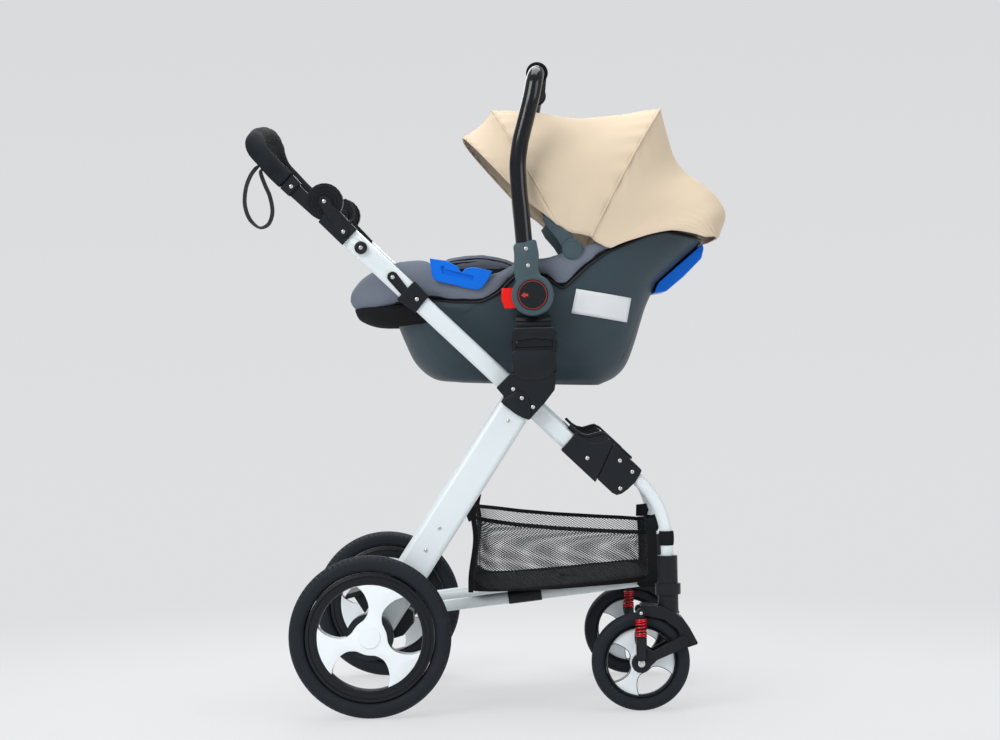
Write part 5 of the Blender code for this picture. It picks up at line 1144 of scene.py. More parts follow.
class STROLLER_OT_shell(bpy.types.Operator):
    """The carrier's tub with its bosses, lugs, rim edging, blank label and the handle's hubs"""

    bl_idname = "stroller.shell"
    bl_label = "Carrier shell"

    def execute(self, context):
        self.tub()
        self.edging()
        self.labels()
        self.bail()
        return {"FINISHED"}

    def tub(self):
        """Outer and inner skins of the tub in one closed form, with the side mouldings let in."""
        outer = shell_grid(40, 220)
        x, y, z = outer[..., 0], outer[..., 1], outer[..., 2]
        inside = self.panel_mask(x, z) * (np.abs(y) > 0.10)
        outer[..., 1] -= np.sign(y) * 0.0022 * inside
        inner = shell_grid(24, 220, 0.005)[::-1]
        form = Form().grid(np.concatenate([outer, inner], 0))
        tub = form.build("carrier_tub", "carrier", "slate_moulding", "slate_plastic", 40.0)
        lugs = self.mouldings().build("carrier_lugs", "carrier", "black_moulding", "slate_plastic", 40.0)
        for piece in (tub, lugs):
            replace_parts(piece, "carrier_shell")

    def panel_mask(self, x, z):
        """1 inside the recessed side panel, with a soft edge: its boundary sweeps from the rim down and back."""
        line_x = (-0.150, -0.139, -0.112, -0.091, -0.042, 0.03, 0.30)
        low = np.interp(x, line_x, (0.78, 0.714, 0.651, 0.627, 0.6156, 0.610, 0.614))
        return 1 / (1 + np.exp(-(z - low) / 0.0012))

    def mouldings(self):
        """Boss, neck, docking lug and canopy lug on each side, as rounded plates."""
        form = Form().plates(np.array(PIVOT) + circle(0.0270, 48), 0.1960, 0.2137, 0.0015)
        rear, front, low, high = 0.0451, 0.1077, 0.6778, 0.6966
        for top, near, far in ((high, 0.1885, 0.2187), (0.6868, 0.2187, 0.2465)):
            form.plates([(rear, low), (front, low), (front, top), (rear, top)], near, far, 0.0006)
        lug = [(rear + 0.004, 0.608), (front - 0.004, 0.608), (front, 0.618), (front, 0.680)]
        form.plates(lug + [(rear, 0.680), (rear, 0.618)], 0.2205, 0.2463, 0.0006)
        ear = [(0.134, 0.762), (0.150, 0.772), (0.172, 0.791), (0.184, 0.801), (0.163, 0.824), (0.148, 0.830)]
        return form.plates(ear + [(0.134, 0.820)], 0.188, 0.1946, 0.0010)

    def edging(self):
        """A black rubber edge along the rim."""
        a, b = tub_turn(320)
        x = 0.103 + a * 0.2865
        path = np.stack([x, b * 0.2005, rim_height(x) + 0.0004], -1)
        Form().loop(path, circle(0.0030, 12)).build("rim_edging", "carrier")

    def labels(self):
        """A blank sticker on each side of the shell, laid on its surface."""
        corners = np.array([(0.154, 0.7455), (0.2533, 0.7276), (0.2453, 0.6842), (0.1444, 0.7024)])
        u, v = np.meshgrid(np.linspace(0, 1, 16), np.linspace(0, 1, 8), indexing="ij")
        shares = ((1 - u) * (1 - v), u * (1 - v), u * v, (1 - u) * v)
        spot = sum(corner * share[..., None] for corner, share in zip(corners, shares))
        skin = shell_grid(40, 220).reshape(-1, 3)
        for side, word in SIDES:
            near = skin[skin[:, 1] * side > 0.05]
            gap = ((near[:, 0::2] - spot.reshape(-1, 1, 2)) ** 2).sum(-1)
            weight = 1 / (gap + 1e-6) ** 2
            y = (weight * near[:, 1]).sum(1) / weight.sum(1)
            grid = np.stack([spot[..., 0], y.reshape(u.shape) + side * -0.0006, spot[..., 1]], -1)
            form = Form().grid(grid, wrap=(False, False), caps=False)
            name = "blank_label_" + word
            thicken(form.build(name, "carrier", "blank_sticker", "slate_plastic", outwards=False), 0.0006, 0.0)

    def bail(self):
        """The gloss tube and, at its feet, the slate hub arms with their discs."""
        side_run = [
            (0.0640, 0.2315, 0.8100), (0.0619, 0.2315, 0.8385), (0.0587, 0.2315, 0.8857), (0.0562, 0.2315, 0.9140),
            (0.0546, 0.2315, 0.9423), (0.0546, 0.2315, 0.9700), (0.0593, 0.2315, 1.0034), (0.0660, 0.2314, 1.0300),
            (0.0741, 0.2312, 1.0596), (0.0808, 0.2308, 1.0850), (0.0856, 0.2270, 1.1080), (0.0890, 0.2170, 1.1225),
            (0.0912, 0.2020, 1.1295), (0.0922, 0.1830, 1.1315), (0.0925, 0.1200, 1.1325), (0.0925, 0.0600, 1.1328),
        ]
        run = np.vstack([mirrored(side_run, RIGHT), [(0.0925, 0.0, 1.1328)], side_run[::-1]])
        path = smooth_curve(run, 260)
        bail = Form().tube(path, 0.0148, 32, (1.0, 0.0, 0.0))
        bail = bail.build("bail_tube", "carry_handle", "gloss_tube", "gloss_black", 25.0)
        held = path[np.abs(path[:, 1]) < 0.1975]
        ends = np.minimum(run_lengths(held[:, None], 0)[:, 0], run_lengths(held[::-1, None], 0)[::-1, 0])
        lip = np.where(ends < 0.006, 0.0195, 0.0172) - 0.0018 * (ends < 0.0005)
        grip = Form().tube(held, lip, 36, (1.0, 0.0, 0.0))
        grip.build("bail_grip", "carry_handle", "bail_grip", "gloss_black", 50.0)
        arms = self.hub_arms().build("hub_arms", "carry_handle", "arm_moulding", "slate_plastic")
        for piece in (bail, arms):
            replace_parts(piece, "carry_handle")
        self.hub_discs()

    def hub_arms(self):
        """Waisted arms and round hubs with a stepped face."""
        outline = [
            (0.0451, 0.8243), (0.0634, 0.8285), (0.0818, 0.8319), (0.0862, 0.8190), (0.0883, 0.8051),
            (0.0874, 0.7900), (0.0880, 0.7770), (0.0950, 0.7640), (0.1010, 0.7550), (0.0860, 0.7250),
            (0.0510, 0.7400), (0.0470, 0.7560), (0.0441, 0.7751), (0.0443, 0.7900), (0.0447, 0.8060),
        ]
        turn = [(0.0, 0.2143), (0.0362, 0.2143), (0.0372, 0.2155), (0.0372, 0.2462), (0.0350, 0.2484)]
        turn += [(0.0300, 0.2490), (0.0292, 0.2482), (0.0, 0.2482)]
        form = Form().plates(smooth_curve(outline, 90, closed=True), 0.2160, 0.2478, 0.0030)
        return form.turned(turn, PIVOT, 72)

    def hub_discs(self):
        """A dark inlay with a red ring and a red pointer to the button."""
        face = [(0.0, 0.24815), (0.0268, 0.24815), (0.0272, 0.2486), (0.0268, 0.24900), (0.0, 0.24900)]
        Form().turned(face, PIVOT, 64).build("hub_inlays", "carry_handle")
        band = [(0.0243, 0.2487), (0.0250, 0.2487), (0.0250, 0.24915), (0.0243, 0.24915)]
        arrow = [(0.0555, 0.7350), (0.0625, 0.7400), (0.0625, 0.7372), (0.0680, 0.7372), (0.0680, 0.7328)]
        arrow += [(0.0625, 0.7328), (0.0625, 0.7300)]
        marks = Form().turned(band, PIVOT, 64, closed=True).plates(arrow, 0.2487, 0.24915, 0.0001)
        marks.build("hub_marks", "carry_handle", "ring_red", "button_red")


TOP_X = (-0.262, -0.232, -0.174, -0.110, -0.017, 0.046, 0.100, 0.200, 0.300, 0.390)
TOP_Z = (0.745, 0.775, 0.800, 0.808, 0.812, 0.800, 0.802, 0.834, 0.856, 0.846)


def padded_height(x):
    """Height of the padded edge's crown: the stations joined and averaged over a short stretch."""
    spread = np.linspace(-0.014, 0.014, 9)
    return np.mean([np.interp(x + step, TOP_X, TOP_Z) for step in spread], axis=0)


def settled(grid):
    """Cloth above the rim, pressed down beside the right belt guide and risen on the far side."""
    x, y, z = np.moveaxis(grid, -1, 0)
    rim = rim_height(x)
    above = np.clip(z - rim, 0, None)
    beside = 1 / (1 + np.exp(-(x + 0.098) / 0.008)) / (1 + np.exp((x - 0.052) / 0.010))
    lift = 0.015 / (padded_height(x) - rim) * np.clip(y / 0.12, 0, 1) - 0.45 * np.clip(-y / 0.12, 0, 1)
    return np.stack([x, y, z + above * beside * lift], -1)


def ring_at(a, b, rear, front, wide, height):
    """A ring in plan between rear and front, at the height worked out from x."""
    x = (rear + front) / 2 + a * (front - rear) / 2
    return np.stack([x, b * wide, height(x)], -1)


class STROLLER_OT_liner(bpy.types.Operator):
    """The padded edge, the bowl's padding and the harness"""

    bl_idname = "stroller.liner"
    bl_label = "Lining and harness"

    def execute(self, context):
        self.roll()
        self.foot_pad()
        self.bowl()
        self.harness()
        return {"FINISHED"}

    def roll(self):
        """The padded edge: a closed section of nine guide rings, carried round the rim."""
        a, b = tub_turn(200)

        def mixed(share, lift=0.0, lap=0.0):
            """Between the rim and the crown, lifted, and lapping down under the foot end."""

            def height(x):
                foot_end = np.clip((-0.165 - x) / 0.060, 0, 1)
                return rim_height(x) * (1 - share) + padded_height(x) * share + lift - lap * foot_end

            return height

        rings = [
            ring_at(a, b, -0.196, 0.378, 0.1975, mixed(0.0, 0.0035, 0.010)),
            ring_at(a, b, -0.232, 0.384, 0.2025, mixed(0.0, 0.0010, 0.012)),
            ring_at(a, b, -0.256, 0.387, 0.2040, mixed(0.30, 0.0, 0.011)),
            ring_at(a, b, -0.262, 0.386, 0.2015, mixed(0.68)),
            ring_at(a, b, -0.248, 0.380, 0.1940, mixed(0.97)),
            ring_at(a, b, -0.226, 0.371, 0.1850, mixed(1.0)),
            ring_at(a, b, -0.206, 0.361, 0.1775, mixed(1.0, -0.006)),
            ring_at(a, b, -0.199, 0.356, 0.1745, mixed(1.0, -0.014)),
            ring_at(a, b, -0.206, 0.360, 0.1810, mixed(0.45)),
        ]
        section = smooth_curve(np.array(rings).reshape(len(rings), -1), 36, closed=True)
        grid = settled(section.reshape(36, 200, 3))
        form = Form().grid(np.swapaxes(grid, 0, 1), wrap=(True, True), caps=False)
        roll = form.build("padded_edge", "carrier", "lining_cloth", "grey_fabric", 60.0)
        swell(roll, 0.005, 0.0008, 0.006)
        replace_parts(roll, "seat_liner")
        for name, row, radius in (("piping_low", 3, 0.0018), ("piping_top", 26, 0.0015)):
            edge = Form().loop(laid_on(grid[row], roll), circle(radius, 10))
            edge.build(name, "carrier", "black_cloth", "black_mesh")

    def foot_pad(self):
        """The black underside of the foot end: a closed section that dwindles towards its two ends."""
        a, b = tub_turn(200)
        kept = np.where(a < -0.60)[0]
        a, b = a[kept], b[kept]
        table = (
            (-0.2560, 0.7240), (-0.2565, 0.7180), (-0.2480, 0.7085), (-0.2320, 0.6985), (-0.2120, 0.6910),
            (-0.1930, 0.6890), (-0.1780, 0.6925), (-0.1740, 0.7050), (-0.1900, 0.7180), (-0.2250, 0.7270),
        )
        rings = np.array([ring_at(a, b, rear, 0.380, 0.196, lambda x, z=z: np.full_like(x, z)) for rear, z in table])
        rings = smooth_curve(rings.reshape(len(table), -1), 30, closed=True).reshape(30, len(a), 3)
        middle = rings.mean(0)
        taper = np.clip((-0.60 - a) / 0.16, 0, 1) ** 0.5
        rings = middle + (rings - middle) * (0.05 + 0.95 * taper)[:, None]
        pad = Form().grid(np.swapaxes(rings, 0, 1)).build("foot_pad", "carrier", "pad_cloth", "black_mesh", 60.0)
        swell(pad, 0.005, 0.0005, 0.006)

    def bowl(self):
        """The bowl's padding: rings from the edge down to the seat, quilted by shallow channels."""
        a, b = tub_turn(200)

        def slope(rear, rear_z, front, front_z):
            return lambda x: rear_z + (front_z - rear_z) * (x - rear) / (front - rear)

        rings = [
            ring_at(a, b, -0.202, 0.3570, 0.1755, lambda x: padded_height(x) - 0.0125),
            ring_at(a, b, -0.190, 0.3480, 0.1725, lambda x: rim_height(x) * 0.5 + padded_height(x) * 0.5 - 0.004),
            ring_at(a, b, -0.168, 0.330, 0.1670, slope(-0.168, 0.768, 0.330, 0.805)),
            ring_at(a, b, -0.130, 0.272, 0.1510, slope(-0.130, 0.715, 0.272, 0.735)),
            ring_at(a, b, -0.090, 0.236, 0.1330, slope(-0.090, 0.665, 0.236, 0.668)),
            ring_at(a, b, -0.045, 0.195, 0.1130, slope(-0.045, 0.636, 0.195, 0.636)),
            ring_at(a, b, 0.020, 0.130, 0.0600, slope(0.020, 0.6335, 0.130, 0.6335)),
            ring_at(a, b, 0.075, 0.075, 0.0, lambda x: np.full_like(x, 0.633)),
        ]
        grid = settled(smooth_curve(np.array(rings).reshape(len(rings), -1), 60).reshape(60, 200, 3))
        span = np.linspace(0, 1, 60)[:, None]
        channels = np.minimum(np.abs(np.sin(span * math.pi * 7)) * 3, 1)
        grid[..., 2] -= 0.0022 * (1 - channels) * (span > 0.12) * (span < 0.9)
        form = Form().grid(grid, caps=False)
        bowl = form.build("bowl_padding", "carrier", "inner_cloth", "grey_fabric", 60.0, outwards=False)
        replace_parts(bowl, "seat_liner")
        thicken(bowl, 0.004, 1.0)

    def harness(self):
        """Straps that follow the padding, the buckle and its red button."""
        upwards = (0.0, 0.0, 1.0)
        seat = [(0.3120, 0.8000), (0.2790, 0.7470), (0.2500, 0.6960), (0.2180, 0.6560), (0.1750, 0.6430)]
        seat += [(0.1300, 0.6400), (0.0950, 0.6420)]
        webbing_section = flat_oval(0.0110, 0.0010, 20, 5.0)
        swell_along = np.sin(np.linspace(0.15, math.pi - 0.15, 30))[:, None, None] ** 0.3
        pad_section = flat_oval(0.0230, 0.0050, 28, 3.0) * swell_along
        form, pads = Form(), Form()
        for side in (RIGHT, LEFT):
            spread = np.linspace(0.040, 0.012, len(seat))
            path = smooth_curve([(x, side * w, z + 0.0035) for (x, z), w in zip(seat, spread)], 60)
            form.grid(carried(path, webbing_section, upwards))
            shoulder = zip(seat[1:4], (0.036, 0.031, 0.027))
            path = smooth_curve([(x, side * w, z + 0.0060) for (x, z), w in shoulder], 30)
            pads.grid(carried(path, pad_section, upwards))
        crotch = [(-0.0200, 0.0, 0.6395), (0.0100, 0.0, 0.6400), (0.0500, 0.0, 0.6430)]
        form.grid(carried(smooth_curve(crotch, 20), flat_oval(0.0150, 0.0010, 20, 5.0), upwards))
        straps = form.build("harness_straps", "carrier", "strap_webbing", "webbing")
        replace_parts(straps, "harness")
        pads = pads.build("shoulder_pads", "carrier", "lining_cloth", "grey_fabric", 60.0)
        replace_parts(pads, "harness")
        outline = [(0.0450, 0.6405), (0.1060, 0.6405), (0.1080, 0.6450), (0.1040, 0.6520), (0.0930, 0.6560)]
        outline += [(0.0560, 0.6550), (0.0460, 0.6500)]
        buckle = Form().plate(outline, -0.0240, 0.0240, 0.0020).build("buckle", "carrier")
        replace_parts(buckle, "harness")
        press = [(0.0620, 0.6540), (0.0880, 0.6545), (0.0870, 0.6585), (0.0640, 0.6580)]
        Form().plate(press, -0.0120, 0.0120, 0.0010).build("buckle_button", "carrier", "button_red", "button_red")


# Canopy


REAR_BOW, FRONT_BOW, VISOR, HEM = 56.8, 117.9, 132.0, 4.0
SKIRT = (
    (4.0, 12.0, 19.0, 26.0, 34.0, 42.0, 50.0, 56.8, 70.0, 88.0),
    (0.000, 0.008, 0.023, 0.033, 0.021, 0.012, 0.007, 0.004, 0.001, 0.000),
    (0.000, 0.000, 0.000, 0.000, 0.006, 0.010, 0.014, 0.017, 0.008, 0.000),
)
RIB_TABLES = {
    "rear": (
        (4.0, 12.0, 19.0, 26.0, 34.0, 42.0, 50.0, 56.8),
        (0.268, 0.292, 0.288, 0.274, 0.258, 0.261, 0.283, 0.3115),
        (0.236, 0.180, 0.120, 0.075, 0.052, 0.040, 0.034, 0.030),
    ),
    "middle": (
        (56.8, 70.0, 87.0, 104.0, 117.9),
        (0.3115, 0.268, 0.248, 0.268, 0.2985),
        (0.030, 0.028, 0.028, 0.034, 0.048),
    ),
    "front": ((117.9, 122.0, 127.0, 132.0), (0.2985, 0.2900, 0.2870, 0.2900), (0.048, 0.054, 0.075, 0.110)),
}


def rib_table(panel, angles):
    """Reach of each arch at its top and at its feet, on a smooth curve through the panel's own stations."""
    stations, tops, feet = RIB_TABLES[panel]
    read = smooth_curve(np.stack([stations, tops, feet], -1), 400)
    order = np.argsort(read[:, 0])
    return np.interp(angles, read[order, 0], read[order, 1]), np.interp(angles, read[order, 0], read[order, 2])


def canopy_grid(panel, start, end, rows, cols, inset=0.0):
    """Arches in planes that lean about the pivot axis.

    At turn t from one hem over the top to the other, the width is half * |cos t|**0.62 and the reach goes
    from foot to top with sin(t)**0.80; angles run from start to end. The sides hang lower by the skirt's
    drop and reach further back by its shift, both fading upwards.
    """
    angles = np.linspace(start, end, rows)
    top, foot = rib_table(panel, angles)
    t = np.linspace(0, math.pi, cols)
    t = t - 0.16 * np.sin(2 * t)
    s, c = np.sin(t), np.cos(t)
    width = (0.2065 - inset) * -np.sign(c) * np.abs(c) ** 0.62
    reach = foot[:, None] + (top[:, None] - inset - foot[:, None]) * s[None, :] ** 0.80
    lean = np.radians(angles)[:, None]
    low = (1 - s) ** 2.2
    drop, shift = (np.interp(angles, SKIRT[0], SKIRT[row])[:, None] * low for row in (1, 2))
    x = CANOPY_PIVOT[0] + reach * np.cos(lean) + shift
    z = CANOPY_PIVOT[1] + reach * np.sin(lean) - drop
    return np.stack([x, np.broadcast_to(width, x.shape), z], -1), angles, t


class STROLLER_OT_canopy(bpy.types.Operator):
    """The three canopy panels, their seams, the front bow and its hinges"""

    bl_idname = "stroller.canopy"
    bl_label = "Canopy"

    def execute(self, context):
        front = self.panel("front", VISOR, FRONT_BOW, 26, "canopy_front")
        middle = self.panel("middle", FRONT_BOW, REAR_BOW, 70, "canopy_middle")
        rear = self.panel("rear", REAR_BOW, HEM, 70, "canopy_rear")
        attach(front, "canopy_front")

        def out(angle):
            lean = math.radians(angle)
            return (CANOPY_PIVOT[0] + 0.25 * math.cos(lean), 0.0, CANOPY_PIVOT[1] + 0.25 * math.sin(lean))

        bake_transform(middle)
        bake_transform(rear)
        self.seams()
        self.hinges()
        return {"FINISHED"}

    def panel(self, panel, start, end, rows, node):
        """One panel: its arches, puckered near the seams and gathered at the rear hem."""
        grid, angles, t = canopy_grid(panel, start, end, rows, 160)
        middle = np.array((CANOPY_PIVOT[0], 0.0, CANOPY_PIVOT[1] - 0.02))
        outwards = unit(grid - middle)
        low, high = min(start, end), max(start, end)
        share = (angles - low)[:, None] / (high - low)
        between = np.sin(math.pi * share)
        side = np.sin(t)[None, :]
        pull = 0.0016 * np.sin(34 * t)[None, :] * (1 - between) ** 3
        folds = 0.0030 * np.sin(9 * t + 5.0 * share) * between * (1 - side) ** 1.5
        if panel == "rear":
            hem = np.exp(-(angles - HEM)[:, None] / 5.0)
            folds = folds + 0.0028 * np.sin(46 * t)[None, :] * hem * (side > 0.2)
        grid = grid + outwards * (pull + folds)[..., None]
        sheet = Form().grid(grid, wrap=(False, False), caps=False)
        made = self.sheet_piece(sheet, "canopy_panel_" + panel)
        span = run_lengths(grid, 0)[-1]
        length = run_lengths(grid, 1)[:, -1]
        area = float(self.area(grid))
        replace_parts(made, node)
        return made

    def area(self, grid):
        """The area of the grid's quads, each as two triangles."""
        one = np.cross(grid[1:, :-1] - grid[:-1, :-1], grid[:-1, 1:] - grid[:-1, :-1])
        two = np.cross(grid[1:, :-1] - grid[1:, 1:], grid[:-1, 1:] - grid[1:, 1:])
        return (np.linalg.norm(one, axis=-1).sum() + np.linalg.norm(two, axis=-1).sum()) / 2

    def sheet_piece(self, form, name):
        """A sheet of cloth whose outer face looks away from the pivot, with its own thickness."""
        mesh = form.mesh(name)
        mesh.update()
        centre = Vector((CANOPY_PIVOT[0], 0.0, CANOPY_PIVOT[1]))
        probe = mesh.polygons[len(mesh.polygons) // 2]
        if (probe.center - centre).dot(probe.normal) < 0:
            mesh.flip_normals()
        mesh.shade_smooth()
        made = linked(name, mesh, finish("canopy_cloth"))
        return thicken(made, 0.0014)

    def seams(self):
        """Felled seams over both bows and a bound edge round the visor."""
        for name, panel, angle, radius, body, rise in (
            ("seam_rear_bow", "middle", REAR_BOW, 0.0021, "canopy_middle", 0.0012),
            ("seam_front_bow", "middle", FRONT_BOW, 0.0014, "canopy_front", 0.0006),
            ("visor_binding", "front", VISOR, 0.0022, "canopy_front", -0.0010),
        ):
            grid, _, _ = canopy_grid(panel, angle, angle, 1, 200, -rise)
            lean = math.radians(angle)
            ref = (math.cos(lean), 0.0, math.sin(lean) + 1e-3)
            bead = carried(grid[0], flat_oval(radius, radius * 0.8, 12, 2.0), ref)
            Form().grid(bead).build(name, body, "canopy_cloth", "beige_fabric", 60.0)

    def hinges(self):
        """The round canopy hinges with their arms, and the bow's rod."""
        lean = math.radians(FRONT_BOW)
        grid, _, _ = canopy_grid("middle", FRONT_BOW, FRONT_BOW, 1, 160, 0.0075)
        form = Form().grid(carried(grid[0], circle(0.0030, 16), (math.cos(lean), 0.0, math.sin(lean))))
        out = np.array((math.cos(lean), math.sin(lean)))
        square = np.array((-out[1], out[0]))
        arm = [(0.0, 0.0135), (0.030, 0.0150), (0.056, 0.0205), (0.072, 0.0200), (0.082, -0.0060), (0.040, -0.0120)]
        arm = [np.array(CANOPY_PIVOT) + out * reach + square * off for reach, off in arm + [(0.0, -0.0135)]]
        turn = [(0.0, 0.1962), (0.0180, 0.1962), (0.0180, 0.2085), (0.0168, 0.2098), (0.0145, 0.2100)]
        turn += [(0.0140, 0.2092), (0.0, 0.2092)]
        form.plates(arm, 0.1965, 0.2045, 0.0012).turned(turn, CANOPY_PIVOT, 56)
        bow = form.build("canopy_hinges", "canopy_front", "arm_moulding", "slate_plastic")
        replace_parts(bow, "canopy_bow")


# Basket


class STROLLER_OT_basket(bpy.types.Operator):
    """The netted basket with its bindings, cloth floor and straps"""

    bl_idname = "stroller.basket"
    bl_label = "Basket"

    def execute(self, context):
        a, b = tub_turn(240, 6.0)
        solid_x = (-0.048, -0.038, -0.022, 0.029, 0.107, 0.210, 0.288)
        solid_z = (0.2340, 0.2220, 0.2100, 0.2097, 0.2150, 0.2230, 0.2300)
        rim_x, rim_z = (-0.046, -0.025, 0.040, 0.110, 0.200, 0.288), (0.3450, 0.3400, 0.3300, 0.3225, 0.3155, 0.3100)
        rows = {
            "floor": (-0.0505, 0.2868, 0.1800, (-0.05, 0.106, 0.288), (0.2058, 0.2092, 0.2200)),
            "solid": (-0.0480, 0.2880, 0.1868, solid_x, solid_z),
            "waist": (-0.0390, 0.2885, 0.1885, (-0.045, 0.108, 0.288), (0.302, 0.288, 0.285)),
            "rim": (-0.0430, 0.2890, 0.1900, rim_x, rim_z),
        }

        def ring(name, inset=0.0, lower=0.0):
            rear, front, wide, places, heights = rows[name]
            spread = np.linspace(-0.012, 0.012, 7)

            def height(x):
                return np.mean([np.interp(x + step, places, heights) for step in spread], axis=0) - lower

            return ring_at(a, b, rear + inset, front - inset, wide - inset, height)

        def wall(names, count):
            rings = np.array([ring(name) for name in names])
            return smooth_curve(rings.reshape(len(names), -1), count).reshape(count, len(a), 3)

        for name, grid, look, thick in (
            ("basket_net", wall(("solid", "waist", "rim"), 30), "basket_net", 0.0007),
            ("basket_cloth", wall(("floor", "solid"), 12), "black_cloth", 0.0014),
        ):
            made = Form().grid(grid, caps=False).build(name, "lower_frame", look, "black_mesh", 60.0)
            thicken(made, thick)
            self.follow(made)
            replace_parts(made, "basket")
        share = np.linspace(1, 0, 24)[:, None]
        edge = ring("floor", 0.0002)
        grid = np.empty((24, len(a), 3))
        grid[..., 0] = 0.118 + (edge[:, 0] - 0.118) * share
        grid[..., 1] = edge[:, 1] * share
        held = np.interp(grid[..., 0], (-0.046, 0.100, 0.288), (0.2035, 0.2110, 0.2300)) + 0.0015
        grid[..., 2] = edge[:, 2] + (np.maximum(held, edge[:, 2]) - edge[:, 2]) * np.clip((1 - share) / 0.18, 0, 1)
        bottom = Form().grid(grid, caps=False)
        bottom = bottom.build("basket_floor", "lower_frame", "black_cloth", "black_mesh", 60.0, outwards=False)
        thicken(bottom, 0.0014, 1.0)
        self.follow(bottom)
        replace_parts(bottom, "basket")
        for name, row, width, lower in (
            ("binding_rim", "rim", 0.0036, 0.0030),
            ("binding_low", "solid", 0.0016, 0.0),
        ):
            bead = Form().loop(ring(row, -0.0004, lower), flat_oval(0.0013, width, 16, 5.0))
            self.follow(bead.build(name, "lower_frame", "black_cloth", "black_mesh", 60.0))
        self.uprights()
        self.leg_loops()
        self.sleeves()
        return {"FINISHED"}

    def sleeves(self):
        """Black sleeves round the lower bars, each with a rivet."""
        form, rivets = Form(), Form()
        for side in (RIGHT, LEFT):
            x = np.linspace(0.0210, 0.0810, 7)
            path = np.stack([x, np.full(7, side * 0.105), 0.169 + 0.1085 * (x + 0.158)], -1)
            form.grid(carried(path, flat_oval(0.0118, 0.0126, 32, 3.0), (0.0, 1.0, 0.0)))
            screw_head(rivets, (0.0490, side * 0.1172, 0.1915), side, 0.0024, 0.0010)
        form.build("bar_sleeves", "lower_frame")
        rivets.build("bar_rivets", "lower_frame", outwards=False)

    def uprights(self):
        """Bound cloth strips down the basket's four corners, and the ties at their tops."""
        rear = [(-0.0455, 0.1820, 0.2070), (-0.0440, 0.1855, 0.2400), (-0.0350, 0.1880, 0.3000)]
        rear.append((-0.0385, 0.1895, 0.3440))
        front = [(0.2800, 0.1830, 0.2210), (0.2810, 0.1860, 0.2600), (0.2800, 0.1880, 0.2900)]
        front.append((0.2795, 0.1890, 0.3110))
        form = Form()
        for side in (RIGHT, LEFT):
            for points, half in ((rear, 0.0046), (front, 0.0085)):
                path = smooth_curve(mirrored(points, side), 30)
                form.grid(carried(path, flat_oval(half, 0.0018, 20, 4.0), (0.0, 1.0, 0.0)))
        tie = [(-0.0460, 0.3330), (-0.0340, 0.3420), (-0.0300, 0.3600), (-0.0420, 0.3640), (-0.0530, 0.3520)]
        form.plates(tie, 0.1895, 0.1925, 0.0010)
        tie = [(0.2690, 0.3120), (0.2900, 0.3110), (0.2940, 0.3230), (0.2900, 0.3360), (0.2700, 0.3340)]
        form.plates(tie, 0.1895, 0.1930, 0.0010)
        self.follow(form.build("basket_uprights", "lower_frame", "black_cloth", "black_mesh", 60.0))

    def leg_loops(self):
        """Cloth loops round the front legs that hold the basket's front corners."""
        form = Form()
        rise = np.linspace(0, 1, 9)
        radius = 0.0124 + 0.0012 * np.sin(math.pi * rise) ** 0.5
        for side in (RIGHT, LEFT):
            path = [(CASTER[0] - 0.0010, side * (CASTER[1] - 0.0006), 0.2900 + 0.0250 * part) for part in rise]
            form.tube(path, radius, 32)
        form.build("leg_loops", "front_frame", "black_cloth", "black_mesh", 60.0)

    def follow(self, made):
        """Gives the piece a mesh of its own."""
        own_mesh(made)


# Fasteners and trims


def screw_head(form, place, side, radius=0.0036, out=0.0014):
    """A pan head with a cross recess: a dome of the radius, cut by two bars."""
    rings, turn = np.linspace(0, 1, 12), np.linspace(0, 2 * math.pi, 36, endpoint=False)
    r, t = np.meshgrid(rings, turn, indexing="ij")
    u, v = r * np.cos(t), r * np.sin(t)
    dome = np.sqrt(np.clip(1 - r**2.6, 0, 1))
    cross = ((np.abs(u) < 0.15) | (np.abs(v) < 0.15)) & (r < 0.62)
    height = out * dome - 0.55 * out * cross
    x, y, z = place
    grid = np.stack([x + radius * u, y + side * height, z + radius * v], -1)
    form.grid(grid, wrap=(False, True), caps=False)


